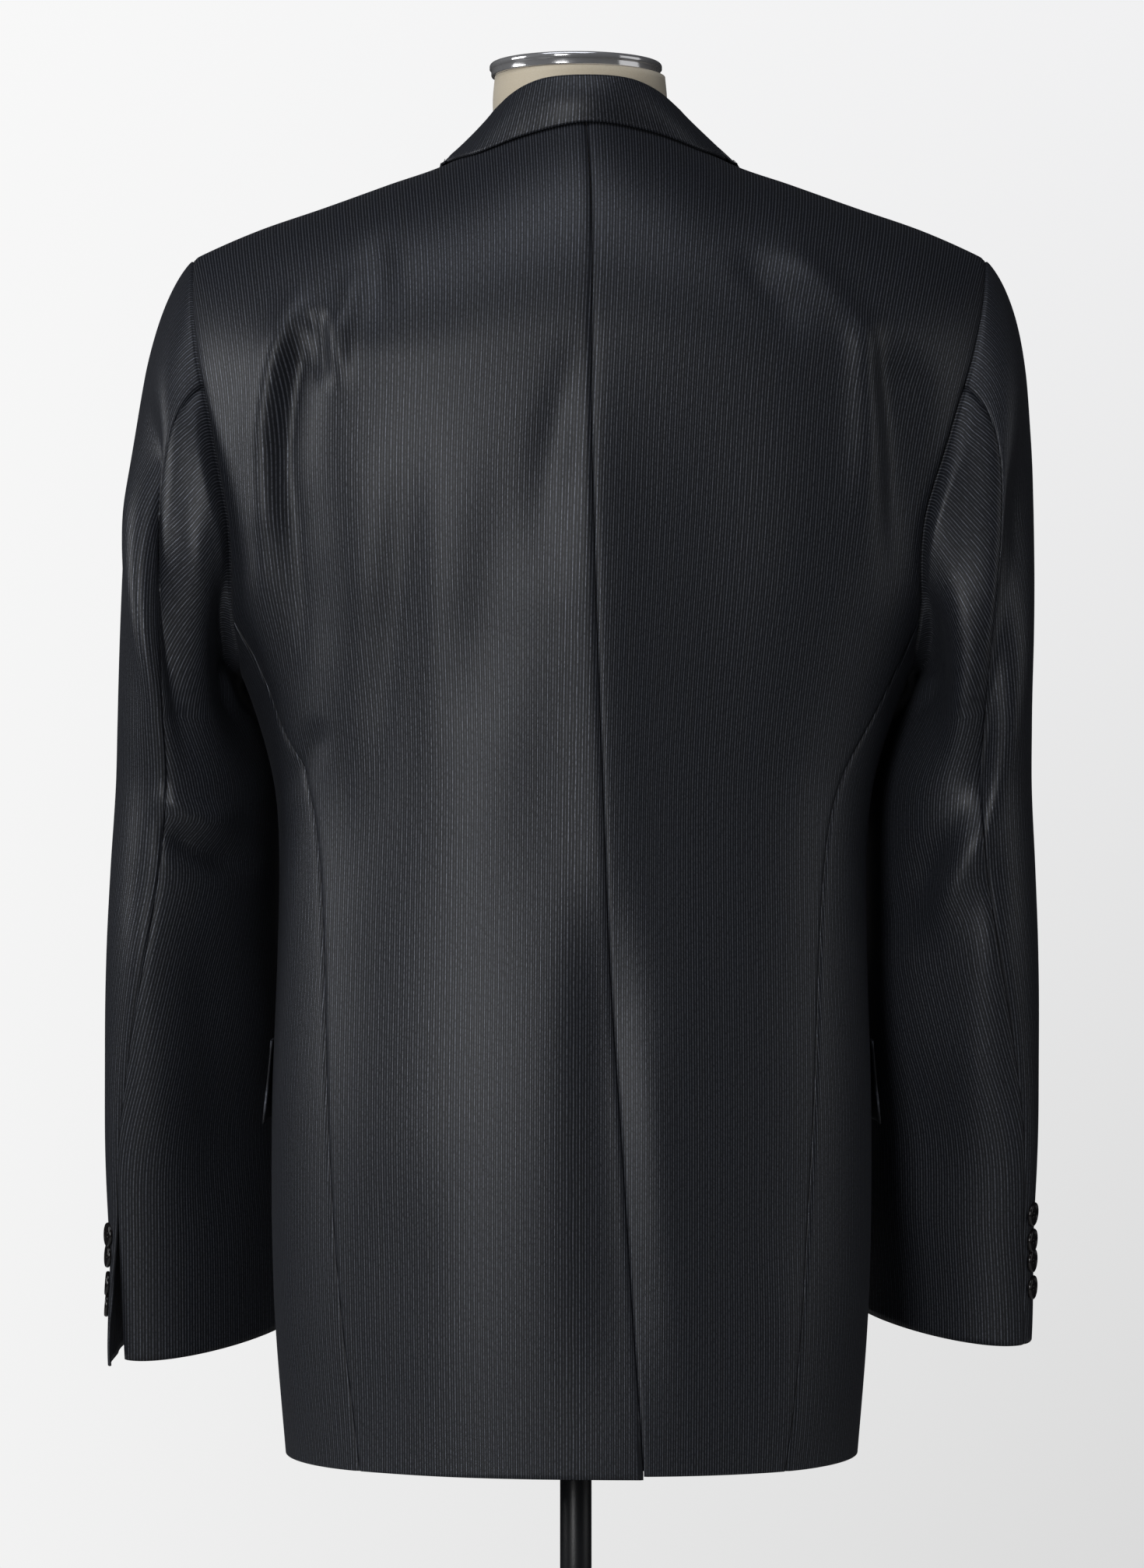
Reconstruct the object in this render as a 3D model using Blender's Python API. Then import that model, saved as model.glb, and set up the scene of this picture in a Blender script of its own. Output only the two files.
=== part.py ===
# Single-breasted blazer hanging on a limbless dress form with a pole and a round base.
# Front faces -Y, back faces +Y, the wearer's left is +X, the base stands on Z = 0.

import math
from bisect import bisect_right

import bmesh
import bpy
import numpy as np

# Cloth and seams, metres
CLOTH = 0.002
SEAM = 0.0003
LAYER = CLOTH + SEAM

# The torso's level sections: superellipses with this power
POWER = 2.3
SHOULDER_HALF = 0.252
RIDGE_Y = -0.005

# height, half width, back depth, front depth
TORSO = [
    (0.28, 0.1700, 0.138, 0.150),
    (0.39, 0.1785, 0.137, 0.150),
    (0.50, 0.1800, 0.133, 0.149),
    (0.60, 0.1770, 0.125, 0.146),
    (0.66, 0.1765, 0.121, 0.143),
    (0.70, 0.1800, 0.120, 0.140),
    (0.74, 0.1910, 0.121, 0.137),
    (0.78, 0.2070, 0.124, 0.134),
    (0.82, 0.2250, 0.127, 0.130),
    (0.88, 0.2450, 0.129, 0.125),
    (0.94, SHOULDER_HALF, 0.128, 0.116),
    (1.02, SHOULDER_HALF, 0.124, 0.104),
    (1.12, SHOULDER_HALF, 0.118, 0.095),
]

# Shoulder line seen from the back: distance from the middle, height, rounding height
RIDGE = [
    (0.000, 1.1120, 0.150),
    (0.040, 1.0970, 0.140),
    (0.085, 1.0728, 0.126),
    (0.120, 1.0604, 0.117),
    (0.160, 1.0462, 0.105),
    (0.200, 1.0326, 0.095),
    (0.238, 1.0162, 0.087),
    (0.260, 1.0040, 0.082),
]

# The coat hangs a little askew: height, sideways shift
LEAN = [
    (0.28, 0.0025),
    (0.50, 0.0025),
    (0.70, 0.0012),
    (0.88, -0.0025),
    (1.03, -0.0085),
    (1.12, -0.0060),
]

# Centre-back seam: height, world x before the lean
CENTRE_BACK = [
    (0.28, -0.0430),
    (0.38, -0.0365),
    (0.48, -0.0300),
    (0.60, -0.0215),
    (0.70, -0.0165),
    (0.84, -0.0090),
    (0.96, -0.0030),
    (1.10, 0.0015),
]

# Seam between back and side body: height, distance from the middle
SIDE_BACK = [
    (0.300, 0.1235),
    (0.420, 0.1370),
    (0.550, 0.1440),
    (0.660, 0.1495),
    (0.705, 0.1590),
    (0.750, 0.1820),
    (0.796, 0.2035),
]

# Seam between side body and front: height, distance from the middle
SIDE_FRONT = [
    (0.297, 0.1360),
    (0.420, 0.1480),
    (0.560, 0.1510),
    (0.680, 0.1530),
    (0.740, 0.1700),
    (0.800, 0.1920),
]

# Armhole edges from the side seams up to the shoulder point: height, distance from the middle
ARMHOLE_BACK = [
    (0.796, 0.2035),
    (0.825, 0.2040),
    (0.860, 0.2070),
    (0.912, 0.2185),
    (0.955, 0.2295),
    (0.990, 0.2355),
]
ARMHOLE_FRONT = [
    (0.800, 0.1920),
    (0.835, 0.1850),
    (0.880, 0.1860),
    (0.920, 0.1950),
    (0.960, 0.2120),
    (0.990, 0.2295),
]
SHOULDER_POINT = 0.2390
ARMHOLE_LOW = 0.767

# Front edge of a front from the hem corner to the neck point: height, distance (minus: past the middle)
FRONT_EDGE = [
    (0.2965, 0.0900),
    (0.3020, 0.0660),
    (0.3220, 0.0420),
    (0.3600, 0.0220),
    (0.4200, 0.0010),
    (0.4900, -0.0130),
    (0.5600, -0.0175),
    (0.6650, -0.0180),
]
ROLL_LINE = [
    (0.6650, -0.0180),
    (0.7500, 0.0030),
    (0.8500, 0.0280),
    (0.9500, 0.0520),
    (1.0200, 0.0680),
]
NECK_POINT = 0.0780
NECK_BACK = 1.0920

# Hem height by angle round the torso, 90 at the middle of the back, -90 at the front
HEM = [(-92.0, 0.2965), (-50.0, 0.2930), (-30.0, 0.2970), (0.0, 0.3000), (45.0, 0.3020), (100.0, 0.3045)]
LEFT_BACK_DROP = 0.003

# The vent's underlap: bottom and top height, width, width at the top
VENT = (0.3105, 0.5660, 0.0360, 0.0162)

# Large folds: x and z of both ends, half width, height outward, side (1 back, -1 front)
FOLDS = [
    (0.128, 0.955, 0.176, 0.850, 0.0085, -0.0050, 1),
    (0.150, 0.950, 0.192, 0.850, 0.0090, 0.0035, 1),
    (0.144, 0.955, 0.140, 0.925, 0.0070, -0.0025, 1),
    (-0.172, 0.950, -0.168, 0.860, 0.0120, -0.0045, 1),
    (-0.192, 0.950, -0.190, 0.860, 0.0100, 0.0025, 1),
    (0.030, 0.960, 0.105, 0.640, 0.0300, -0.0045, 1),
    (0.000, 0.820, 0.085, 0.400, 0.0320, 0.0040, 1),
    (-0.045, 0.860, -0.085, 0.560, 0.0300, -0.0030, 1),
    (0.170, 0.755, 0.120, 0.700, 0.0110, -0.0035, 1),
    (-0.172, 0.750, -0.120, 0.690, 0.0110, -0.0030, 1),
    (0.135, 0.700, 0.080, 0.640, 0.0140, 0.0025, 1),
    (-0.080, 0.420, -0.065, 0.290, 0.0280, 0.0035, 1),
    (0.095, 0.430, 0.110, 0.290, 0.0260, -0.0035, 1),
    (0.130, 0.780, 0.040, 0.640, 0.0180, -0.0035, -1),
    (-0.130, 0.780, -0.040, 0.640, 0.0180, -0.0030, -1),
    (0.120, 0.560, 0.060, 0.640, 0.0200, 0.0025, -1),
    (-0.110, 0.570, -0.060, 0.640, 0.0200, 0.0025, -1),
]

# Degrees either side of the side line over which body folds fade out
FOLDLESS_SIDE = 22.0

# Cloth layers under the left front: below the break point, more above it, from what height, over what height
OVERLAP = (1.2, 1.3, 0.590, 0.060)
# The overlap's inner limit and the width over which it rises
OVERLAP_REACH = (0.060, 0.035)

# Sleeve rings: height, centre x, centre y, half thickness, half breadth, turn, tilt, seam twist
SLEEVE = [
    (0.362, 0.2237, -0.070, 0.0320, 0.0735, 40.0, 0.18, 0.0),
    (0.430, 0.2262, -0.060, 0.0345, 0.0755, 38.0, 0.16, 0.0),
    (0.490, 0.2300, -0.050, 0.0365, 0.0765, 33.0, 0.14, 0.0),
    (0.550, 0.2298, -0.042, 0.0430, 0.0790, 26.0, 0.11, 2.0),
    (0.600, 0.2306, -0.036, 0.0445, 0.0810, 20.0, 0.08, 6.0),
    (0.650, 0.2291, -0.031, 0.0450, 0.0820, 17.0, 0.05, 10.0),
    (0.700, 0.2272, -0.025, 0.0450, 0.0830, 14.0, 0.02, 9.0),
    (0.738, 0.2327, -0.012, 0.0400, 0.0830, 8.0, 0.00, 4.0),
]
CUFF_LEVEL = SLEEVE[0][0]
TOP_LEVEL = SLEEVE[-1][0]
RIGHT_SLEEVE_LIFT = 0.009
LIFT_OVER = 0.30
# The right cuff hangs further out: how far, below what height, over what height
RIGHT_CUFF_OUT = (0.0030, 0.440, 0.080)

# How the sleeve leaves the armhole: angle from the shoulder point over the back,
# start direction x, y, z, start pull, end pull
SLEEVE_LEAVE = [
    (0.0, 0.68, 0.00, -0.73, 0.055, 0.110),
    (45.0, 0.62, 0.25, -0.74, 0.060, 0.090),
    (90.0, 0.80, 0.25, -0.55, 0.045, 0.080),
    (135.0, 0.85, 0.15, -0.50, 0.022, 0.035),
    (180.0, 0.75, 0.00, -0.66, 0.010, 0.010),
    (225.0, 0.85, -0.15, -0.50, 0.022, 0.035),
    (270.0, 0.80, -0.25, -0.55, 0.045, 0.080),
    (315.0, 0.62, -0.25, -0.74, 0.060, 0.090),
    (360.0, 0.68, 0.00, -0.73, 0.055, 0.110),
]

# Sleeve folds: angle, height at both ends, half width in metres, height outward, side
SLEEVE_FOLDS = [
    (100.0, 0.900, 70.0, 0.700, 0.014, -0.0050, 1),
    (70.0, 0.880, 45.0, 0.690, 0.014, 0.0030, 1),
    (130.0, 0.720, 60.0, 0.660, 0.013, -0.0050, 1),
    (150.0, 0.640, 90.0, 0.600, 0.014, -0.0045, 1),
    (120.0, 0.600, 70.0, 0.560, 0.014, 0.0035, 1),
    (95.0, 0.880, 60.0, 0.700, 0.014, -0.0050, -1),
    (150.0, 0.640, 85.0, 0.690, 0.014, 0.0045, -1),
    (140.0, 0.600, 70.0, 0.650, 0.014, -0.0050, -1),
    (280.0, 0.700, 240.0, 0.640, 0.014, -0.0040, 1),
    (280.0, 0.700, 240.0, 0.640, 0.014, -0.0040, -1),
]
SLEEVE_REACH = 0.065
HIND_ARM = 90.0
FORE_ARM = 250.0
CUFF_SLIT = 0.100
SLIT_FLARE = 0.008

# Collar stations for one side: how far round (0 middle of the back, 1 the notch),
# roll line x, y, z, leaf edge x, z on the coat
COLLAR = [
    (0.00, 0.0000, 0.0590, 1.1175, 0.0000, 1.0830),
    (0.20, 0.0280, 0.0530, 1.1155, 0.0350, 1.0815),
    (0.40, 0.0490, 0.0330, 1.1060, 0.0645, 1.0757),
    (0.60, 0.0600, 0.0000, 1.0925, 0.0885, 1.0690),
    (0.73, 0.0628, -0.0600, 1.0635, 0.1050, 1.0470),
    (0.86, 0.0595, -0.0880, 1.0320, 0.1130, 1.0160),
    (1.00, 0.0575, -0.1065, 0.9990, 0.1120, 0.9850),
]
COLLAR_LIFT = 0.0026
FOLD_ROUND = 0.0022
NECK_STEPS = 6
GORGE_STEPS = 4
NECK_SIDE_SHARE = NECK_STEPS / (NECK_STEPS + GORGE_STEPS)
GORGE = (0.9900, 0.0610)

# Lapel outer edge from the break point to the tip: height, distance from the middle
LAPEL_EDGE = [
    (0.6700, -0.0110),
    (0.7300, 0.0300),
    (0.8000, 0.0680),
    (0.8800, 0.1020),
    (0.9500, 0.1240),
]
LAPEL_NOTCH = (0.9600, 0.0980)

# Pocket flap on the torso: angles of its ends, top and bottom height
FLAP = (4.0, -50.0, 0.546, 0.4965)
FLAP_STAND = 0.0035

# Breast welt corners: distance, height at the inner and outer end, tall
WELT = (0.1050, 0.8580, 0.1660, 0.8700, 0.0230)

# Buttons: radius and thickness
FRONT_BUTTON = (0.0100, 0.0036)
FRONT_BUTTON_HEIGHTS = {"upper": 0.655, "lower": 0.550}
CUFF_BUTTON = (0.0074, 0.0030)
CUFF_BUTTON_PITCH = 0.0158
CUFF_BUTTON_FIRST = 0.032
CUFF_BUTTON_COUNT = 4
CUFF_BUTTON_INSET = 0.0115
CUFF_BUTTON_STAND = {1: 0.0011, -1: 0.0007}
FRONT_BUTTON_STAND = 0.0003

# Dress form: height, half width, back depth, front depth
FORM = [
    (0.352, 0.128, 0.098, 0.102),
    (0.362, 0.142, 0.110, 0.114),
    (0.400, 0.150, 0.116, 0.122),
    (0.500, 0.158, 0.119, 0.127),
    (0.600, 0.150, 0.106, 0.118),
    (0.680, 0.152, 0.104, 0.116),
    (0.760, 0.168, 0.110, 0.120),
    (0.840, 0.184, 0.116, 0.119),
    (0.920, 0.196, 0.118, 0.108),
    (1.000, 0.202, 0.116, 0.095),
    (1.120, 0.202, 0.110, 0.086),
]
FORM_LEVELS = [
    0.352, 0.356, 0.362, 0.380, 0.420, 0.470, 0.530, 0.590, 0.640, 0.700, 0.760, 0.820, 0.870, 0.910,
    0.940, 0.965, 0.985, 1.000, 1.012, 1.023, 1.033, 1.042, 1.051, 1.060, 1.069, 1.078, 1.088, 1.104, 1.1257,
]
FORM_NECK = [
    (1.040, 0.0600),
    (1.062, 0.0570),
    (1.080, 0.0535),
    (1.098, 0.0522),
    (1.112, 0.0526),
    (1.1257, 0.0514),
]
NECK_SHIFT = -0.0025
FORM_DROP = 0.0037
FORM_DROP_AT_NECK = 0.0070

POLE_RADIUS = 0.0095
BASE_RADIUS = 0.150
BASE_THICK = 0.010
SOCKET_RADIUS = 0.024
SOCKET_TOP = 0.034
CAP_RADIUS = 0.0520
CAP_BOTTOM = 1.1260
CAP_TOP = 1.1338

# Rows and columns of the cloth grids
ROWS_SEAM = 11
ROWS_ARMHOLE = 10
ROWS_FRONT_EDGE = 8
BACK_COLUMNS = 13
SIDE_COLUMNS = 6
FRONT_COLUMNS = 10
SLEEVE_CAP_ROWS = 6
SLEEVE_ROWS = 11
HIND_STEPS = 5
FORE_STEPS = 3

COLOURS = {
    "suiting": (0.055, 0.058, 0.066, 1.0),
    "button": (0.012, 0.012, 0.013, 1.0),
    "canvas": (0.620, 0.520, 0.410, 1.0),
    "chrome": (0.760, 0.760, 0.770, 1.0),
    "paint": (0.020, 0.021, 0.023, 1.0),
}


def clear_scene():
    for item in list(bpy.data.objects):
        bpy.data.objects.remove(item, do_unlink=True)


def new_material(name, colour, metal, rough):
    material = bpy.data.materials.new(name)
    material.use_nodes = True
    shader = material.node_tree.nodes["Principled BSDF"]
    shader.inputs["Base Color"].default_value = colour
    shader.inputs["Metallic"].default_value = metal
    shader.inputs["Roughness"].default_value = rough
    return material


def place(name, mesh, colour, metal=0.0, rough=0.8):
    data = bpy.data.meshes.new(name)
    bmesh.ops.recalc_face_normals(mesh, faces=mesh.faces[:])
    if mesh.calc_volume(signed=True) < 0.0:
        bmesh.ops.reverse_faces(mesh, faces=mesh.faces[:])
    for face in mesh.faces:
        face.smooth = True
    mesh.to_mesh(data)
    mesh.free()
    item = bpy.data.objects.new(name, data)
    item.data.materials.append(new_material(name + "_finish", COLOURS[colour], metal, rough))
    bpy.context.scene.collection.objects.link(item)
    return item


def read(table, at, column):
    # Smooth reading of a table whose first column rises
    heights = [row[0] for row in table]
    at = min(max(at, heights[0]), heights[-1])
    low = min(max(bisect_right(heights, at) - 1, 0), len(heights) - 2)
    step = heights[low + 1] - heights[low]

    def slope(index):
        before = max(index - 1, 0)
        after = min(index + 1, len(table) - 1)
        return (table[after][column] - table[before][column]) / (heights[after] - heights[before])

    part = (at - heights[low]) / step
    first, second = table[low][column], table[low + 1][column]
    square, cube = part * part, part ** 3
    return (
        first * (2 * cube - 3 * square + 1)
        + second * (3 * square - 2 * cube)
        + slope(low) * step * (cube - 2 * square + part)
        + slope(low + 1) * step * (cube - square)
    )


def ease(part):
    part = min(max(part, 0.0), 1.0)
    return part * part * (3.0 - 2.0 * part)


def signed_power(value, power):
    return math.copysign(abs(value) ** power, value)


def to_param(x, z, facing):
    # Angle and run down from the shoulder line of a point given from the back or front
    half = read(TORSO, z, 1)
    share = signed_power(min(max(x / half, -1.0), 1.0), POWER / 2.0)
    angle = facing * math.acos(share)
    reach = SHOULDER_HALF * abs(x) / half
    ridge = read(RIDGE, reach, 1)
    round_height = read(RIDGE, reach, 2)
    drop = (ridge - z) / round_height
    if drop >= 1.0:
        run = round_height * (math.pi / 2.0 - 1.0) + ridge - z
    else:
        run = round_height * math.acos(1.0 - max(drop, 0.0))
    return np.array((angle, run))


def ridge_param(x, facing):
    share = signed_power(x / SHOULDER_HALF, POWER / 2.0)
    return np.array((facing * math.acos(share), 0.0))


def angle_param(degrees, z):
    angle = math.radians(degrees)
    share = signed_power(math.cos(angle), 2.0 / POWER)
    ridge = read(RIDGE, SHOULDER_HALF * abs(share), 1)
    round_height = read(RIDGE, SHOULDER_HALF * abs(share), 2)
    return np.array((angle, round_height * (math.pi / 2.0 - 1.0) + ridge - z))


def fold_height(x, z, facing):
    total = 0.0
    for x0, z0, x1, z1, half, height, side in FOLDS:
        if side != facing:
            continue
        length = math.hypot(x1 - x0, z1 - z0)
        along = ((x - x0) * (x1 - x0) + (z - z0) * (z1 - z0)) / length
        across = ((x - x0) * (z1 - z0) - (z - z0) * (x1 - x0)) / length
        fade = ease((along + 1.5 * half) / (3.0 * half)) * ease((length - along) / (0.6 * length) + 0.3)
        total += height * fade * math.exp(-((across / half) ** 2))
    return total


def bare_point(param, side):
    angle, run = param
    facing = 1 if angle >= 0.0 else -1
    share = signed_power(math.cos(angle), 2.0 / POWER)
    swing = abs(math.sin(angle)) ** (2.0 / POWER)
    ridge = read(RIDGE, SHOULDER_HALF * abs(share), 1)
    round_height = read(RIDGE, SHOULDER_HALF * abs(share), 2)
    if run < round_height * math.pi / 2.0:
        z = ridge - round_height * (1.0 - math.cos(run / round_height))
        blend = math.sin(run / round_height)
    else:
        z = ridge - round_height - (run - round_height * math.pi / 2.0)
        blend = 1.0
    half = read(TORSO, z, 1)
    depth = read(TORSO, z, 2 if facing > 0 else 3) * facing
    y = RIDGE_Y * (1.0 - blend) + depth * swing * blend
    return np.array((side * half * share + read(LEAN, z, 1), y, z))


def coat_normal(param, side):
    step_angle = np.array((0.004, 0.0))
    step_run = np.array((0.0, 0.001))
    round_way = bare_point(param + step_angle, side) - bare_point(param - step_angle, side)
    down_way = bare_point(param + step_run, side) - bare_point(param - step_run, side)
    normal = np.cross(down_way, round_way) * side
    return normal / np.linalg.norm(normal)


def coat_point(param, side, lift=0.0):
    # Point on the coat's outer face, moved out by lift
    base = bare_point(param, side)
    facing = 1 if param[0] >= 0.0 else -1
    clear_side = ease(abs(math.degrees(param[0])) / FOLDLESS_SIDE)
    bump = fold_height(base[0], base[2], facing) * clear_side
    return base + coat_normal(param, side) * (lift + bump)


def overlap_lift(param, side):
    # The wearer's left front lies over the right one near the middle
    if side < 0:
        return 0.0
    world = bare_point(param, side)
    low_layers, more_layers, start, over = OVERLAP
    layers = low_layers + more_layers * ease((world[2] - start) / over)
    return LAYER * layers * ease((OVERLAP_REACH[0] - world[0]) / OVERLAP_REACH[1])


def resample(points, steps):
    # Even walk along a smooth line through the given points; radians count as 0.18 m on surface positions
    arm = 0.18
    points = [np.asarray(point, dtype=float) for point in points]
    lengths = [0.0]
    for before, after in zip(points, points[1:]):
        gap = after - before
        lengths.append(lengths[-1] + math.hypot(gap[0] * arm if len(gap) == 2 else gap[0], *gap[1:]))
    table = [(length, *point) for length, point in zip(lengths, points)]
    spaced = [lengths[-1] * index / steps for index in range(steps + 1)]
    return [np.array([read(table, at, column + 1) for column in range(len(points[0]))]) for at in spaced]


def coons(bottom, top, left, right):
    # Grid of points between four edges; rows run from bottom to top
    rows, columns = len(left), len(bottom)
    grid = []
    for j in range(rows):
        t = j / (rows - 1)
        line = []
        for i in range(columns):
            s = i / (columns - 1)
            ruled = (1 - t) * bottom[i] + t * top[i] + (1 - s) * left[j] + s * right[j]
            corners = (
                (1 - s) * (1 - t) * bottom[0] + s * (1 - t) * bottom[-1]
                + (1 - s) * t * top[0] + s * t * top[-1]
            )
            line.append(ruled - corners)
        grid.append(line)
    return grid


def draw_in(points, edges):
    # Pulls the named edges of a grid inward by half a seam
    near = {"bottom": (0, 1), "top": (-1, -2)}
    for name in edges:
        if name in near:
            rim, inner = near[name]
            away = points[inner] - points[rim]
            points[rim] += away * (SEAM / 2.0) / np.linalg.norm(away, axis=1)[:, None]
        else:
            rim, inner = (0, 1) if name == "left" else (-1, -2)
            away = points[:, inner] - points[:, rim]
            points[:, rim] += away * (SEAM / 2.0) / np.linalg.norm(away, axis=1)[:, None]
    return points


def shell(name, outer, inner):
    # Closed wall between two grids of the same size
    rows, columns = outer.shape[0], outer.shape[1]
    mesh = bmesh.new()
    bmesh.ops.create_grid(mesh, x_segments=columns - 1, y_segments=rows - 1, size=0.5)
    for vert in mesh.verts:
        vert.co.z = 0.0
    made = bmesh.ops.extrude_face_region(mesh, geom=mesh.faces[:], use_keep_orig=True)
    copies = {vert for vert in made["geom"] if isinstance(vert, bmesh.types.BMVert)}
    for vert in mesh.verts:
        column = round((vert.co.x + 0.5) * (columns - 1))
        row = round((vert.co.y + 0.5) * (rows - 1))
        source = inner if vert in copies else outer
        vert.co = source[row][column]
    bmesh.ops.triangulate(mesh, faces=mesh.faces[:])
    return place(name, mesh, "suiting")


ALL_EDGES = ("bottom", "top", "left", "right")


def panel(name, grid, side, lift=None, edges=ALL_EDGES):
    # Cloth panel on the coat's surface from a grid of surface positions
    def lift_at(param):
        return lift(param) if lift else 0.0

    outer = np.array([[coat_point(p, side, lift_at(p)) for p in row] for row in grid])
    inner = np.array([[coat_point(p, side, lift_at(p) - CLOTH) for p in row] for row in grid])
    return shell(name, draw_in(outer, edges), draw_in(inner, edges))


def hem_param(angle_degrees, extra=0.0):
    return angle_param(angle_degrees, read(HEM, angle_degrees, 1) - extra)


def hem_line(start, end, steps):
    first, last = math.degrees(start), math.degrees(end)
    return [hem_param(first + (last - first) * i / steps) for i in range(steps + 1)]


def seam_rows(table, facing):
    rows = [to_param(x, z, facing) for z, x in table]
    rows[0] = hem_param(math.degrees(rows[0][0]))
    return resample(rows, ROWS_SEAM)


def side_back_seam():
    return seam_rows(SIDE_BACK, 1)


def side_front_seam():
    return seam_rows(SIDE_FRONT, -1)


def armhole_rows(table, facing):
    points = [to_param(x, z, facing) for z, x in table] + [ridge_param(SHOULDER_POINT, facing)]
    return resample(points, ROWS_ARMHOLE)


def armhole_base(steps):
    # The armhole's lowest stretch from the back seam round to the front seam
    start = side_back_seam()[-1]
    end = side_front_seam()[-1]
    low = angle_param(-3.0, ARMHOLE_LOW)
    back_quarter = angle_param(10.0, ARMHOLE_LOW + 0.008)
    front_quarter = angle_param(-16.0, ARMHOLE_LOW + 0.008)
    return resample([start, back_quarter, low, front_quarter, end], steps)


def centre_back_rows(side):
    low, middle, top = HEM[-1][1], SIDE_BACK[-1][0], NECK_BACK
    levels = [low + (middle - low) * j / ROWS_SEAM for j in range(ROWS_SEAM)]
    levels += [middle + (top - middle) * j / ROWS_ARMHOLE for j in range(ROWS_ARMHOLE + 1)]
    rows = []
    for z in levels:
        rows.append(to_param(side * read(CENTRE_BACK, z, 1), z, 1))
    return rows


def neckline_param(share, side):
    # share 0 on the centre-back seam, 1 on the neck point
    start = centre_back_rows(side)[-1]
    start_x = side * read(CENTRE_BACK, NECK_BACK, 1)
    x = start_x + (NECK_POINT - start_x) * math.sin(share * math.pi / 2.0)
    spread = math.cos(share * math.pi / 2.0)
    angle = ridge_param(x, 1)[0]
    return np.array((angle, start[1] * spread ** 0.9 if spread > 1e-6 else 0.0))


def back_panel(side):
    word = "left" if side > 0 else "right"
    drop = LEFT_BACK_DROP if side > 0 else 0.0
    left = centre_back_rows(side)
    left[0] = hem_param(math.degrees(left[0][0]), drop)
    right = side_back_seam()[:-1] + armhole_rows(ARMHOLE_BACK, 1)
    top = [neckline_param(i / NECK_STEPS, side) for i in range(NECK_STEPS)]
    shoulder_columns = BACK_COLUMNS - NECK_STEPS
    for i in range(shoulder_columns + 1):
        x = NECK_POINT + (SHOULDER_POINT - NECK_POINT) * i / shoulder_columns
        top.append(ridge_param(x, 1))
    bottom = hem_line(left[0][0], right[0][0], BACK_COLUMNS)
    for i, point in enumerate(bottom):
        point[1] += drop * (1.0 - i / BACK_COLUMNS) ** 2
    return panel("back_" + word, coons(bottom, top, left, right), side)


def vent_underlap():
    # The right back's extension under the left back, from the vent's top to the hem
    low, top, wide, narrow = VENT
    steps = 6
    levels = [low + (top - low) * j / steps for j in range(steps + 1)]
    grid = []
    for j, z in enumerate(levels):
        start = read(CENTRE_BACK, z, 1)
        reach = wide if j < steps else narrow
        grid.append([to_param(start + reach * i / 2.0, z, 1) for i in range(3)])
    return panel("vent_underlap", grid, 1, lambda p: -LAYER - SEAM)


def side_panel(side):
    word = "left" if side > 0 else "right"
    left = side_back_seam()
    right = side_front_seam()
    top = armhole_base(SIDE_COLUMNS)
    bottom = hem_line(left[0][0], right[0][0], SIDE_COLUMNS)
    return panel("side_panel_" + word, coons(bottom, top, left, right), side)


def front_edge_rows():
    lower = [to_param(x, z, -1) for z, x in FRONT_EDGE]
    upper = [to_param(x, z, -1) for z, x in ROLL_LINE] + [ridge_param(NECK_POINT, -1)]
    below = resample(lower, ROWS_FRONT_EDGE)
    above = resample(upper, ROWS_SEAM + ROWS_ARMHOLE - ROWS_FRONT_EDGE)
    return below[:-1] + above


def front_panel(side):
    word = "left" if side > 0 else "right"
    left = front_edge_rows()
    right = side_front_seam()[:-1] + armhole_rows(ARMHOLE_FRONT, -1)
    top = []
    for i in range(FRONT_COLUMNS + 1):
        x = NECK_POINT + (SHOULDER_POINT - NECK_POINT) * i / FRONT_COLUMNS
        top.append(ridge_param(x, -1))
    bottom = hem_line(left[0][0], right[0][0], FRONT_COLUMNS)
    bottom[0] = left[0]
    grid = coons(bottom, top, left, right)
    return panel("front_" + word, grid, side, lambda p: overlap_lift(p, side))


def lapel(side):
    word = "left" if side > 0 else "right"
    steps = 12
    gorge = to_param(GORGE[1] + 0.001, GORGE[0] - 0.004, -1)
    roll = resample([to_param(x, z, -1) for z, x in ROLL_LINE[:-1]] + [gorge], steps)
    roll[0] = to_param(ROLL_LINE[0][1], 0.6720, -1)
    edge = resample([to_param(x, z, -1) for z, x in LAPEL_EDGE], steps)
    columns = 5
    notch = to_param(LAPEL_NOTCH[1], LAPEL_NOTCH[0], -1)
    top = resample([roll[-1], notch, edge[-1]], columns)
    bottom = resample([roll[0], edge[0]], columns)
    grid = coons(bottom, top, roll, edge)
    outer, inner = [], []
    for row in grid:
        outer_row, inner_row = [], []
        row_height = bare_point(row[0], side)[2]
        for i, param in enumerate(row):
            belly = 0.0030 * math.sin(math.pi * i / columns) * ease((row_height - 0.75) / 0.08)
            lift = overlap_lift(param, side) + SEAM * 2.0 + belly
            outer_row.append(coat_point(param, side, lift + CLOTH))
            inner_row.append(coat_point(param, side, lift))
        outer.append(outer_row)
        inner.append(inner_row)
    return shell("lapel_" + word, np.array(outer), np.array(inner))


def neck_seam(share, side):
    # Where the collar is sewn on: back neck, then down the front's upper edge
    if share <= NECK_SIDE_SHARE:
        return coat_point(neckline_param(share / NECK_SIDE_SHARE, side), side, -CLOTH / 2.0)
    part = (share - NECK_SIDE_SHARE) / (1.0 - NECK_SIDE_SHARE)
    line = [ridge_param(NECK_POINT, -1)] + [to_param(x, z, -1) for z, x in reversed(ROLL_LINE[-2:])]
    line[-1] = to_param(GORGE[1], GORGE[0], -1)
    walk = resample(line, 20)
    spot = walk[min(int(round(part * 20)), 20)]
    return coat_point(spot, side, -CLOTH / 2.0)


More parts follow.
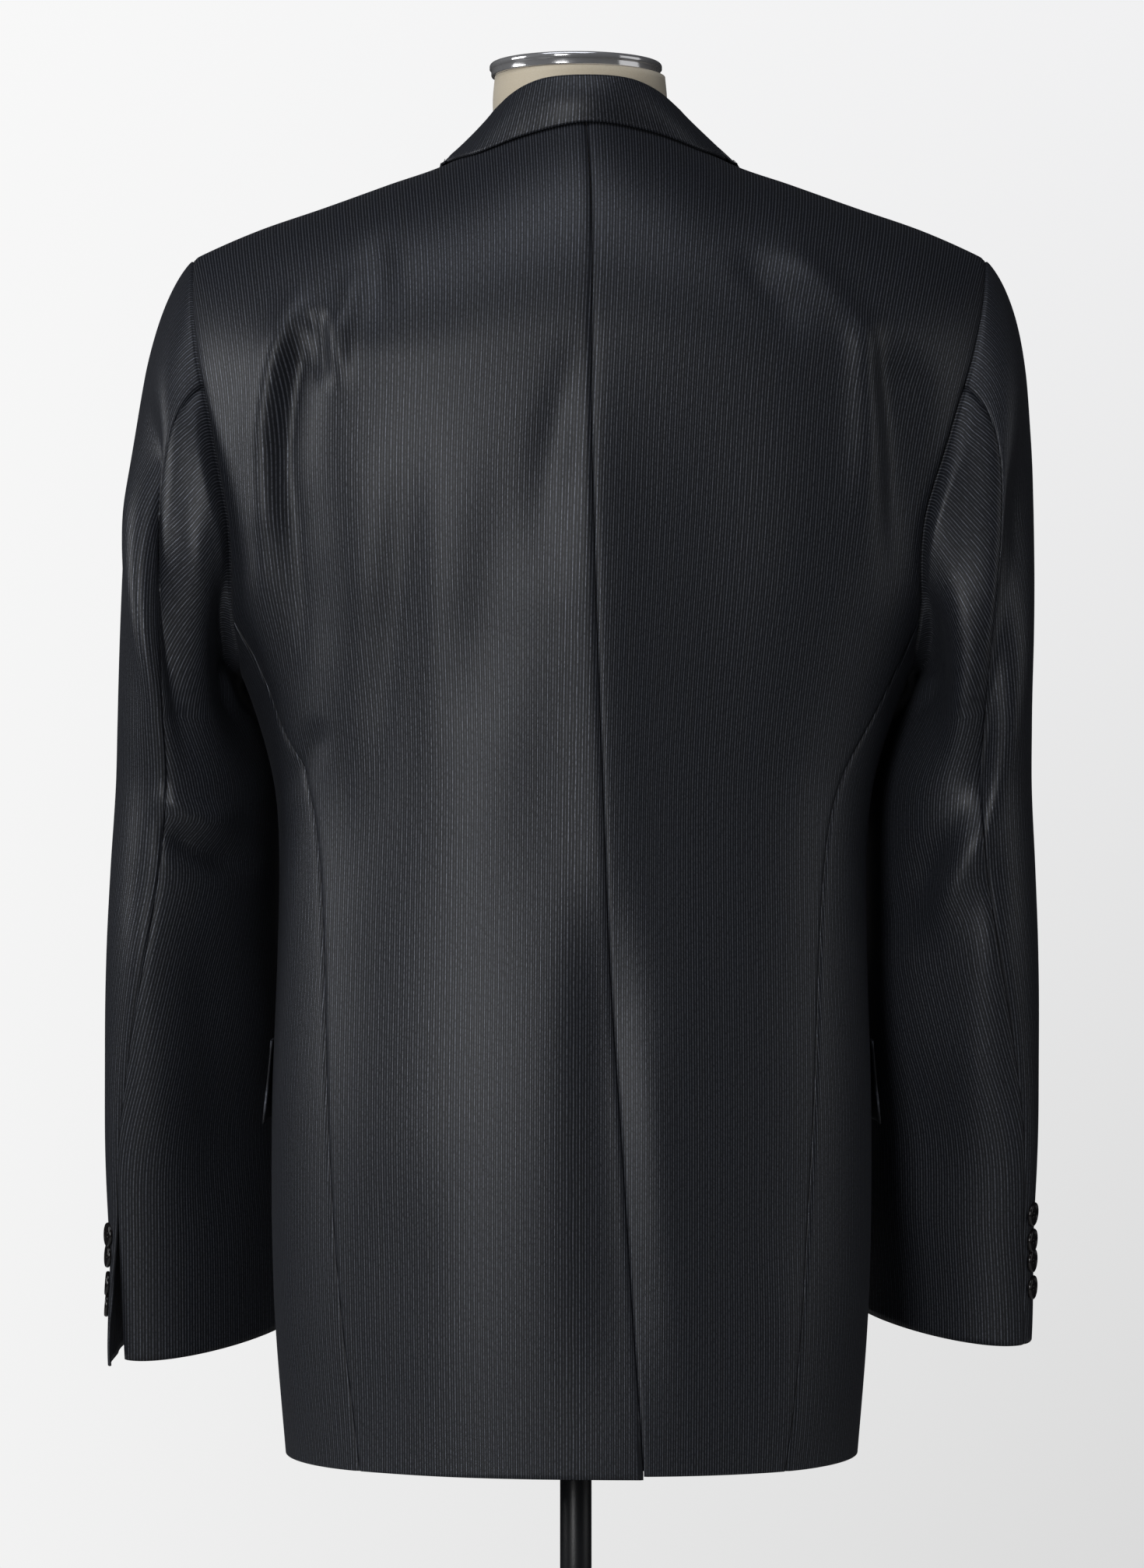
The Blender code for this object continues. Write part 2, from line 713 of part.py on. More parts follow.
def collar_profile(share, side):
    # Middle line of the folded strip at one station, from the neck seam to the leaf's edge
    seam = neck_seam(share, side)
    roll = np.array([read(COLLAR, share, column) for column in (1, 2, 3)])
    roll[0] = side * roll[0] + read(LEAN, roll[2], 1)
    on_back = share <= NECK_SIDE_SHARE
    edge_x, edge_z = read(COLLAR, share, 4), read(COLLAR, share, 5)
    facing = 1 if on_back else -1
    if abs(share - NECK_SIDE_SHARE) < 1e-6:
        edge_param = ridge_param(edge_x, 1)
    else:
        edge_param = to_param(edge_x, edge_z, facing)
    lift = COLLAR_LIFT + CLOTH / 2.0
    if not on_back:
        lift += overlap_lift(edge_param, side)
    edge = coat_point(edge_param, side, lift)
    stand_way = (roll - seam) / np.linalg.norm(roll - seam)
    leaf_way = (roll - edge) / np.linalg.norm(roll - edge)
    tip = stand_way + leaf_way
    tip /= np.linalg.norm(tip)
    out = edge - seam
    out -= tip * np.dot(out, tip)
    out /= np.linalg.norm(out)
    start = seam + stand_way * (CLOTH / 2.0 + SEAM * 2.5)
    before = roll - out * FOLD_ROUND - tip * FOLD_ROUND
    after = roll + out * FOLD_ROUND - tip * FOLD_ROUND
    line = [
        start,
        start * 0.5 + before * 0.5,
        before,
        roll - (out - tip * 0.4) * FOLD_ROUND * 0.70,
        roll + (out + tip * 0.4) * FOLD_ROUND * 0.70,
        after,
        after * 0.62 + edge * 0.38 + out * 0.0022,
        after * 0.28 + edge * 0.72 + out * 0.0016,
        edge,
    ]
    normals = []
    for index in range(len(line)):
        along = line[min(index + 1, len(line) - 1)] - line[max(index - 1, 0)]
        along /= np.linalg.norm(along)
        across = np.cross(np.cross(tip, out), along)
        normals.append(across / np.linalg.norm(across))
    return line, normals


def collar():
    half_steps = NECK_STEPS + GORGE_STEPS
    outer, inner = [], []
    for step in range(-half_steps, half_steps + 1):
        side = 1 if step >= 0 else -1
        line, normals = collar_profile(abs(step) / half_steps, side)
        outer.append([point + normal * CLOTH / 2.0 for point, normal in zip(line, normals)])
        inner.append([point - normal * CLOTH / 2.0 for point, normal in zip(line, normals)])
    return shell("collar", np.array(outer), np.array(inner))


def arm_loop(side):
    # The armhole's points from the shoulder point over the back to the hind-arm seam,
    # the lowest point, the fore-arm seam and back to the top, with their ring angles
    back = armhole_rows(ARMHOLE_BACK, 1)[::-1]
    front = armhole_rows(ARMHOLE_FRONT, -1)
    base = armhole_base(SIDE_COLUMNS)
    loop = [(back[i], HIND_ARM * i / HIND_STEPS) for i in range(HIND_STEPS)]
    under = back[HIND_STEPS:-1] + base[:-1] + front[:FORE_STEPS]
    for i, param in enumerate(under):
        loop.append((param, HIND_ARM + (FORE_ARM - HIND_ARM) * i / len(under)))
    over = front[FORE_STEPS:]
    for i, param in enumerate(over):
        loop.append((param, FORE_ARM + (360.0 - FORE_ARM) * i / (len(over) - 1)))
    return loop, HIND_STEPS + len(under)


def arm_start(side):
    loop, fore = arm_loop(side)
    points = [coat_point(param, side) for param, _ in loop]
    count = len(points) - 1
    middle = sum(points[:-1]) / count
    rows = []
    for i, (param, angle) in enumerate(loop):
        normal = coat_normal(param, side)
        before = points[(i - 1) % count]
        after = points[(i + 1) % count]
        along = (after - before) / np.linalg.norm(after - before)
        away = np.cross(along, normal)
        away /= np.linalg.norm(away)
        if np.dot(away, middle - points[i]) < 0.0:
            away = -away
        rows.append((points[i] + away * SEAM, away, angle))
    return rows, fore


def sleeve_ring(z, angle, side):
    # Point of the hanging tube at one height and angle
    lift = 0.0 if side > 0 else RIGHT_SLEEVE_LIFT * ease((SLEEVE[-2][0] - z) / LIFT_OVER)
    values = [read(SLEEVE, z, column) for column in range(1, 8)]
    centre_x, centre_y, thin, broad, turn, tilt, twist = values
    turn = math.radians(turn)
    theta = math.radians(angle + twist)
    out_x, out_y = math.cos(turn), -math.sin(turn)
    back_x, back_y = math.sin(turn), math.cos(turn)
    local_x = thin * math.cos(theta) * out_x + broad * math.sin(theta) * back_x
    local_y = thin * math.cos(theta) * out_y + broad * math.sin(theta) * back_y
    far, start, over = RIGHT_CUFF_OUT
    out = 0.0 if side > 0 else far * ease((start - z) / over)
    x = side * (centre_x + local_x + out) + read(LEAN, z, 1)
    return np.array((x, centre_y + local_y, z + lift - tilt * local_y))


def sleeve_fold(angle, z, side):
    total = 0.0
    for angle0, z0, angle1, z1, half, height, owner in SLEEVE_FOLDS:
        if owner != side:
            continue
        x0, x1 = math.radians(angle0) * SLEEVE_REACH, math.radians(angle1) * SLEEVE_REACH
        x = math.radians(angle) * SLEEVE_REACH
        length = math.hypot(x1 - x0, z1 - z0)
        along = ((x - x0) * (x1 - x0) + (z - z0) * (z1 - z0)) / length
        across = ((x - x0) * (z1 - z0) - (z - z0) * (x1 - x0)) / length
        fade = ease((along + half) / (2.5 * half)) * ease((length - along + half) / (2.5 * half))
        total += height * fade * math.exp(-((across / half) ** 2))
    return total


def sleeve_grid(side):
    # Rows from the armhole to the cuff: outer points and inner points for every loop step
    starts, fore = arm_start(side)
    lines = []
    for point, away, angle in starts:
        leave = np.array([read(SLEEVE_LEAVE, angle, column) for column in (1, 2, 3)])
        leave[0] *= side
        leave /= np.linalg.norm(leave)
        pull_start, pull_end = read(SLEEVE_LEAVE, angle, 4), read(SLEEVE_LEAVE, angle, 5)
        end = sleeve_ring(TOP_LEVEL, angle, side)
        below = sleeve_ring(TOP_LEVEL - 0.01, angle, side)
        arrive = (below - end) / np.linalg.norm(below - end)
        controls = (point, point + leave * pull_start, end - arrive * pull_end, end)
        line = []
        for row in range(SLEEVE_CAP_ROWS):
            t = row / SLEEVE_CAP_ROWS
            a, b, c, d = controls
            line.append(
                a * (1 - t) ** 3 + b * 3 * t * (1 - t) ** 2 + c * 3 * t * t * (1 - t) + d * t ** 3
            )
        for row in range(SLEEVE_ROWS + 1):
            z = TOP_LEVEL + (CUFF_LEVEL - TOP_LEVEL) * row / SLEEVE_ROWS
            line.append(sleeve_ring(z, angle, side))
        lines.append(line)
    base = np.array(lines)
    count = len(lines) - 1
    normals = np.zeros_like(base)
    for i in range(count + 1):
        before = base[(i - 1) % count]
        after = base[(i + 1) % count]
        for j in range(base.shape[1]):
            up = base[i][max(j - 1, 0)]
            down = base[i][min(j + 1, base.shape[1] - 1)]
            normal = np.cross(after[j] - before[j], down - up) * -side
            normals[i][j] = normal / np.linalg.norm(normal)
    outer = base.copy()
    for i in range(count + 1):
        for j in range(1, base.shape[1]):
            angle = starts[i][2]
            bump = sleeve_fold(angle, base[i][j][2], side)
            if angle < 120.0:
                bump += sleeve_fold(angle + 360.0, base[i][j][2], side)
            outer[i][j] = base[i][j] + normals[i][j] * bump
    inner = outer - normals * CLOTH
    for i, (point, away, angle) in enumerate(starts):
        way = -normals[i][0]
        toward = min(0.0, float(np.dot(way, away)))
        way = way - away * toward
        way /= np.linalg.norm(way)
        thick = CLOTH / max(0.55, float(np.dot(way, -normals[i][0])))
        inner[i][0] = outer[i][0] + way * thick
    return outer, inner, normals, fore


def flare_slit(outer, inner, normals, column):
    # The top sleeve's slit edge stands away from the arm at the left cuff
    levels = outer.shape[1]
    for j in range(levels):
        z = outer[column][j][2]
        hem = outer[column][-1][2]
        part = ease(1.0 - (z - hem) / CUFF_SLIT)
        for offset, share in ((0, 1.0), (-1, 0.35)):
            move = normals[column][j] * SLIT_FLARE * part * share
            move = move + np.array((0.35, 0.0, -0.3)) * SLIT_FLARE * part * share
            outer[column + offset][j] += move
            inner[column + offset][j] += move


def sleeve(side):
    word = "left" if side > 0 else "right"
    outer, inner, normals, fore = sleeve_grid(side)
    under_outer = outer[HIND_STEPS:fore + 1].copy()
    under_inner = inner[HIND_STEPS:fore + 1].copy()
    if side > 0:
        flare_slit(outer, inner, normals, HIND_STEPS)
    top_outer = np.concatenate((outer[fore:-1], outer[:HIND_STEPS + 1]))
    top_inner = np.concatenate((inner[fore:-1], inner[:HIND_STEPS + 1]))
    for part, out_grid, in_grid in (
        ("top", top_outer, top_inner),
        ("under", under_outer, under_inner),
    ):
        sheet_out = draw_in(np.transpose(out_grid, (1, 0, 2)).copy(), ("left", "right"))
        sheet_in = draw_in(np.transpose(in_grid, (1, 0, 2)).copy(), ("left", "right"))
        shell(part + "_sleeve_" + word, sheet_out, sheet_in)


def disc(name, centre, axis, radius, thick, segments):
    # Round button: rim, shallow dish and a softened edge
    mesh = bmesh.new()
    profile = [
        (0.0, 0.0),
        (radius * 0.80, 0.0),
        (radius, thick * 0.40),
        (radius * 0.96, thick * 0.85),
        (radius * 0.86, thick),
        (radius * 0.66, thick * 0.72),
        (0.0, thick * 0.66),
    ]
    verts = [mesh.verts.new((r, 0.0, h)) for r, h in profile]
    edges = [mesh.edges.new(pair) for pair in zip(verts, verts[1:])]
    bmesh.ops.spin(
        mesh,
        geom=verts + edges,
        cent=(0, 0, 0),
        axis=(0, 0, 1),
        angle=2 * math.pi,
        steps=segments,
        use_merge=True,
    )
    bmesh.ops.remove_doubles(mesh, verts=mesh.verts[:], dist=0.00001)
    axis = np.asarray(axis) / np.linalg.norm(axis)
    helper = np.array((0.0, 0.0, 1.0)) if abs(axis[2]) < 0.9 else np.array((1.0, 0.0, 0.0))
    across = np.cross(helper, axis)
    across /= np.linalg.norm(across)
    other = np.cross(axis, across)
    for vert in mesh.verts:
        x, y, z = vert.co
        vert.co = centre + across * x + other * y + axis * z
    return place(name, mesh, "button", 0.0, 0.35)


def front_buttons():
    for word, z in FRONT_BUTTON_HEIGHTS.items():
        param = to_param(0.0, z, -1)
        lift = overlap_lift(param, 1) + FRONT_BUTTON_STAND
        centre = coat_point(param, 1, lift)
        disc("front_button_" + word, centre, coat_normal(param, 1), *FRONT_BUTTON, 20)


def cuff_buttons(side):
    word = "left" if side > 0 else "right"
    outer, inner, normals, fore = sleeve_grid(side)
    if side > 0:
        flare_slit(outer, inner, normals, HIND_STEPS)
    near, far = outer[HIND_STEPS], outer[HIND_STEPS - 1]
    for number in range(CUFF_BUTTON_COUNT):
        run = CUFF_BUTTON_FIRST + CUFF_BUTTON_PITCH * number
        height = near[-1][2] + run
        row = max(j for j in range(len(near)) if near[j][2] >= height)
        part = (near[row][2] - height) / (near[row][2] - near[row + 1][2])
        edge = near[row] * (1 - part) + near[row + 1] * part
        next_line = far[row] * (1 - part) + far[row + 1] * part
        inward = (next_line - edge) / np.linalg.norm(next_line - edge)
        down = (near[row + 1] - near[row]) / np.linalg.norm(near[row + 1] - near[row])
        axis = np.cross(inward, down)
        axis /= np.linalg.norm(axis)
        if np.dot(axis, normals[HIND_STEPS - 1][row]) < 0.0:
            axis = -axis
        centre = edge + inward * CUFF_BUTTON_INSET + axis * CUFF_BUTTON_STAND[side]
        disc(f"cuff_button_{word}_{number + 1}", centre, axis, *CUFF_BUTTON, 14)


def pocket_flap(side):
    word = "left" if side > 0 else "right"
    start, end, top_z, low_z = FLAP
    columns, rows = 8, 3
    outer, inner = [], []
    for j in range(rows + 1):
        share = j / rows
        outer_row, inner_row = [], []
        for i in range(columns + 1):
            angle = start + (end - start) * i / columns
            tuck = 0.8 * (1.0 - share) if i == columns else 0.0
            z = low_z + (top_z - low_z) * share
            param = angle_param(angle + tuck, z)
            lift = SEAM * 2.0 + FLAP_STAND * (1.0 - share) ** 1.5
            outer_row.append(coat_point(param, side, lift + CLOTH))
            inner_row.append(coat_point(param, side, lift))
        outer.append(outer_row)
        inner.append(inner_row)
    return shell("pocket_flap_" + word, np.array(outer), np.array(inner))


def breast_welt():
    x0, z0, x1, z1, tall = WELT
    outer, inner = [], []
    for j in range(2):
        outer_row, inner_row = [], []
        for i in range(5):
            share = i / 4
            param = to_param(x0 + (x1 - x0) * share, z0 + (z1 - z0) * share + tall * j, -1)
            outer_row.append(coat_point(param, 1, SEAM * 2.0 + CLOTH))
            inner_row.append(coat_point(param, 1, SEAM * 2.0))
        outer.append(outer_row)
        inner.append(inner_row)
    return shell("breast_welt", np.array(outer), np.array(inner))


def inside_form(x, y, z):
    # Whether a level point lies under the lowered shoulder line and within the form's section
    half = read(FORM, z, 1)
    if abs(x) >= half:
        return False
    facing = 1 if y >= RIDGE_Y else -1
    depth = read(FORM, z, 2 if facing > 0 else 3) * facing
    swing = (1.0 - (abs(x) / half) ** POWER) ** (1.0 / POWER)
    ridge = read(RIDGE, abs(x), 1) - FORM_DROP - FORM_DROP_AT_NECK * ease((0.125 - abs(x)) / 0.045)
    round_height = read(RIDGE, abs(x), 2)
    drop = (ridge - z) / round_height
    if drop <= 0.0:
        return False
    blend = 1.0 if drop >= 1.0 else math.sqrt(1.0 - (1.0 - drop) ** 2)
    limit = RIDGE_Y * (1.0 - blend) + depth * swing * blend
    return y < limit if facing > 0 else y > limit


def form_reach(angle, z):
    way_x, way_y = math.cos(angle), math.sin(angle)
    low, high = 0.0, 0.30
    for _ in range(26):
        middle = (low + high) / 2.0
        if inside_form(way_x * middle, RIDGE_Y + way_y * middle, z):
            low = middle
        else:
            high = middle
    neck = read(FORM_NECK, z, 1) if z > FORM_NECK[0][0] else 0.0
    return max(low, neck)


def form_torso():
    segments = 44
    mesh = bmesh.new()
    rings = []
    for z in FORM_LEVELS:
        fade = 1.0 - ease((z - 1.068) / 0.025)
        shift = read(LEAN, z, 1) * fade + NECK_SHIFT * (1.0 - fade)
        ring = []
        for i in range(segments):
            angle = 2.0 * math.pi * i / segments
            reach = form_reach(angle, z)
            ring.append(
                mesh.verts.new((shift + reach * math.cos(angle), RIDGE_Y + reach * math.sin(angle), z))
            )
        rings.append(ring)
    for below, above in zip(rings, rings[1:]):
        edges = []
        for ring in (below, above):
            for i in range(segments):
                pair = (ring[i], ring[(i + 1) % segments])
                edges.append(mesh.edges.get(pair) or mesh.edges.new(pair))
        bmesh.ops.bridge_loops(mesh, edges=edges)
    mesh.faces.new(rings[0])
    mesh.faces.new(rings[-1])
    return place("form_torso", mesh, "canvas", 0.0, 0.85)


def turned(name, profile, centre, segments, colour, metal, rough):
    # Solid of revolution about a vertical axis from radius and height pairs
    mesh = bmesh.new()
    verts = [mesh.verts.new((centre[0] + r, centre[1], z)) for r, z in profile]
    edges = [mesh.edges.new(pair) for pair in zip(verts, verts[1:])]
    bmesh.ops.spin(
        mesh,
        geom=verts + edges,
        cent=(centre[0], centre[1], 0.0),
        axis=(0, 0, 1),
        angle=2 * math.pi,
        steps=segments,
        use_merge=True,
    )
    bmesh.ops.remove_doubles(mesh, verts=mesh.verts[:], dist=0.00001)
    return place(name, mesh, colour, metal, rough)


def neck_cap():
    barrel = CAP_RADIUS - 0.0010
    profile = [
        (0.0, CAP_BOTTOM),
        (barrel - 0.0008, CAP_BOTTOM),
        (barrel, CAP_BOTTOM + 0.0008),
        (barrel, CAP_TOP - 0.0044),
        (CAP_RADIUS, CAP_TOP - 0.0036),
        (CAP_RADIUS, CAP_TOP - 0.0016),
        (CAP_RADIUS - 0.0006, CAP_TOP - 0.0005),
        (CAP_RADIUS - 0.0020, CAP_TOP),
        (0.0, CAP_TOP),
    ]
    turned("neck_cap", profile, (0.0, RIDGE_Y), 32, "chrome", 1.0, 0.12)


def stand():
    bottom = SOCKET_TOP + SEAM
    top = FORM_LEVELS[0] - SEAM
    chamfer = 0.0008
    turned(
        "pole",
        [
            (0.0, bottom),
            (POLE_RADIUS - chamfer, bottom),
            (POLE_RADIUS, bottom + chamfer),
            (POLE_RADIUS, top - chamfer),
            (POLE_RADIUS - chamfer, top),
            (0.0, top),
        ],
        (0.0, 0.0),
        28,
        "paint",
        0.6,
        0.35,
    )
    turned(
        "base",
        [
            (0.0, 0.0),
            (BASE_RADIUS - 0.0015, 0.0),
            (BASE_RADIUS, 0.0015),
            (BASE_RADIUS, BASE_THICK - 0.003),
            (BASE_RADIUS - 0.003, BASE_THICK),
            (0.0, BASE_THICK),
        ],
        (0.0, 0.0),
        44,
        "paint",
        0.6,
        0.40,
    )
    turned(
        "pole_socket",
        [
            (0.0, BASE_THICK + SEAM),
            (SOCKET_RADIUS, BASE_THICK + SEAM),
            (SOCKET_RADIUS, BASE_THICK + 0.002),
            (SOCKET_RADIUS - 0.004, SOCKET_TOP - 0.002),
            (SOCKET_RADIUS - 0.006, SOCKET_TOP),
            (0.0, SOCKET_TOP),
        ],
        (0.0, 0.0),
        32,
        "paint",
        0.6,
        0.40,
    )


def main():
    clear_scene()
    for side in (1, -1):
        back_panel(side)
        side_panel(side)
        front_panel(side)
        lapel(side)
        sleeve(side)
        cuff_buttons(side)
        pocket_flap(side)
    vent_underlap()
    breast_welt()
    collar()
    front_buttons()
    form_torso()
    neck_cap()
    stand()


main()
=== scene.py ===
import math

import bmesh
import bpy
import numpy as np
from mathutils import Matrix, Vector


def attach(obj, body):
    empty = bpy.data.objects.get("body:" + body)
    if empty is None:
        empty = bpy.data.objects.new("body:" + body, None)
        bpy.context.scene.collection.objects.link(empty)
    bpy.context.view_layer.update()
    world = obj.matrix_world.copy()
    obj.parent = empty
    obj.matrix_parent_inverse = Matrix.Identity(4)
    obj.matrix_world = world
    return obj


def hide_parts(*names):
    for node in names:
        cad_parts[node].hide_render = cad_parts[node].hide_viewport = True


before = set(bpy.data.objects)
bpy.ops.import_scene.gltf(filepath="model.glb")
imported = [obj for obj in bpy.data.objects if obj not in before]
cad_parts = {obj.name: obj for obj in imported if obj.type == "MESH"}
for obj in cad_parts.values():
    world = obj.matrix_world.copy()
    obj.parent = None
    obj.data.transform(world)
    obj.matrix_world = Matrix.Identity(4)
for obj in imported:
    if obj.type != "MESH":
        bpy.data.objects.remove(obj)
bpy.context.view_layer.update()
print("frame loaded")

# sizes in metres; +Y is the back, +X the wearer's left
cloth = {"thick": 0.0014, "seam": 0.0003, "layer": 0.0023, "step": 0.0042, "fine": 0.003}

torso = {
    "power": 2.3,
    "shoulderHalf": 0.252,
    "girthPerRadian": 0.18,
    "longestRun": 0.95,
    # degrees past the side where the folds are whole
    "foldsWhole": 16.0,
    "ridgeY": -0.005,
    # height, half width, back depth, front depth
    "levels": [
        (0.28, 0.17, 0.138, 0.15), (0.39, 0.1785, 0.137, 0.15), (0.5, 0.18, 0.133, 0.149),
        (0.6, 0.177, 0.125, 0.146), (0.66, 0.1765, 0.121, 0.143), (0.7, 0.18, 0.12, 0.14),
        (0.74, 0.191, 0.121, 0.137), (0.78, 0.207, 0.124, 0.134), (0.82, 0.225, 0.127, 0.13),
        (0.88, 0.245, 0.129, 0.125), (0.94, 0.252, 0.128, 0.116), (1.02, 0.252, 0.124, 0.104),
        (1.12, 0.252, 0.118, 0.095),
    ],
    # distance from the middle, height of the shoulder line, rounding height
    "ridge": [
        (-0.04, 1.097, 0.14), (0.0, 1.112, 0.15), (0.04, 1.097, 0.14), (0.085, 1.0728, 0.126),
        (0.12, 1.0604, 0.117), (0.16, 1.0462, 0.105), (0.2, 1.0326, 0.095),
        (0.238, 1.0162, 0.087), (0.26, 1.004, 0.082),
    ],
    # height, sideways shift of the whole coat
    "lean": [
        (0.28, 0.0025), (0.5, 0.0025), (0.7, 0.0012), (0.88, -0.0025), (1.03, -0.0085), (1.12, -0.006),
    ],
}

# seams: height, distance from the middle
seams = {
    "centreBack": [
        (0.28, -0.043), (0.38, -0.0365), (0.48, -0.03), (0.6, -0.0215), (0.7, -0.0165),
        (0.84, -0.009), (0.96, -0.003), (1.1, 0.0015),
    ],
    "sideBack": [
        (0.3, 0.1235), (0.42, 0.137), (0.55, 0.144), (0.66, 0.1495), (0.705, 0.159),
        (0.75, 0.182), (0.796, 0.2035),
    ],
    "sideFront": [
        (0.297, 0.136), (0.42, 0.148), (0.56, 0.151), (0.68, 0.153), (0.74, 0.17), (0.8, 0.192),
    ],
    "armholeBack": [
        (0.796, 0.2035), (0.825, 0.204), (0.86, 0.207), (0.912, 0.2185), (0.955, 0.2295), (0.99, 0.2355),
    ],
    "armholeFront": [
        (0.8, 0.192), (0.835, 0.185), (0.88, 0.186), (0.92, 0.195), (0.96, 0.212), (0.99, 0.2295),
    ],
    "shoulderPoint": 0.239,
    "armholeFoot": 0.796,
    "armholeLow": 0.767,
    # angle, rise over the armhole's lowest height
    "armholeBase": [(10.0, 0.008), (-3.0, 0.0), (-16.0, 0.008)],
    "frontEdge": [
        (0.2965, 0.09), (0.302, 0.066), (0.322, 0.042), (0.36, 0.022), (0.42, 0.001),
        (0.49, -0.013), (0.56, -0.0175), (0.665, -0.018),
    ],
    "rollLine": [
        (0.665, -0.018), (0.75, 0.003), (0.85, 0.028), (0.95, 0.052), (1.02, 0.068),
    ],
    "neckPoint": 0.07,
    "neckBack": 1.0945,
    # angle round the torso, hem height
    "hem": [(-92.0, 0.2965), (-50.0, 0.293), (-30.0, 0.297), (0.0, 0.3), (45.0, 0.302), (100.0, 0.3045)],
    "hemLevel": 0.3045,
    "leftBackDrop": 0.003,
}

# soft folds, millimetres: start x, z, middle x, z, end x, z, half width at start, at end, height; then
# start fade, end fade and, for an uneven one, how many times wider it is on the side of the wearer's right
backFolds = [
    # wearer's left shoulder blade
    (158, 968, 168, 915, 167, 845, 5.2, 8.2, -8.6, 0.22, 0.45, 3.0),
    (167.5, 890, 160.5, 815, 152, 742, 9, 11.5, -7.6, 0.35, 0.5, 2.2),
    (161, 986, 179, 925, 179.5, 850, 12, 15, 5.6, 0.25, 0.45, 0.48),
    (181, 885, 183, 815, 182, 765, 13, 13, 4.4, 0.3, 0.5, 0.65),
    (152, 974, 149, 954, 146, 930, 5.2, 6.2, -4.6, 0.15, 0.35),
    (139, 972, 139, 952, 138, 930, 6, 7, 3, 0.25, 0.45),
    (127, 998, 135, 963, 143, 930, 6, 7, 2.6, 0.25, 0.4),
    (116, 1020, 115, 995, 117, 962, 9, 11, -2.8, 0.3, 0.5),
    # long soft ones down the wearer's left back
    (-4, 962, 7.5, 905, 18, 815, 10.5, 18, -4.4, 0.4, 0.6),
    (-1, 945, 4, 900, 6, 830, 11, 15, 2, 0.3, 0.5),
    (95, 915, 104, 800, 122, 640, 13, 20, -5.4, 0.45, 0.55),
    (36, 915, 50, 810, 62, 690, 17, 22, -2.6, 0.5, 0.55),
    (45, 760, 56, 700, 70, 620, 30, 34, 2.2, 0.35, 0.5),
    (-14, 645, -20, 520, -30, 340, 15, 32, -5.2, 0.3, 0.25),
    (100, 480, 106, 400, 112, 300, 24, 26, -3, 0.4, 0.3),
    # side seam of the wearer's left
    (150, 734, 159, 714, 170, 697, 7, 8, -2.4, 0.3, 0.4),
    (196, 792, 190, 765, 182, 730, 8, 9, -3.2, 0.3, 0.4),
    # wearer's right
    (-121, 1012, -147, 984, -171, 950, 12, 8, 3.4, 0.3, 0.2),
    (-166, 972, -168, 915, -168, 820, 8.5, 12.5, 4.4, 0.2, 0.55),
    (-96, 1005, -113, 985, -131, 960, 9, 11, -2.6, 0.3, 0.4),
    (-178, 962, -187, 905, -188, 800, 7.2, 12, -8.4, 0.2, 0.5, 2.4),
    (-80, 960, -82, 820, -88, 560, 42, 50, -5.8, 0.4, 0.4),
    (-11, 960, -13, 800, -30, 560, 20, 24, 3, 0.25, 0.45),
    (-92, 640, -96, 500, -100, 320, 40, 46, -4, 0.4, 0.4),
    (-36, 570, -46, 470, -56, 330, 16, 20, 2.6, 0.35, 0.5),
    (-120, 440, -122, 380, -126, 300, 22, 24, 2.6, 0.45, 0.3),
]
frontFolds = [
    (130, 780, 85, 705, 40, 655, 18, 16, -3.5, 0.35, 0.3),
    (-130, 780, -85, 705, -40, 655, 18, 16, -3, 0.35, 0.3),
    (120, 555, 90, 595, 55, 635, 20, 16, 2.5, 0.35, 0.3),
    (-110, 565, -85, 600, -60, 635, 20, 16, 2.5, 0.35, 0.3),
    (165, 960, 150, 900, 150, 830, 12, 16, -3, 0.3, 0.5),
    (-170, 955, -156, 900, -154, 840, 12, 16, -3.4, 0.3, 0.5),
]

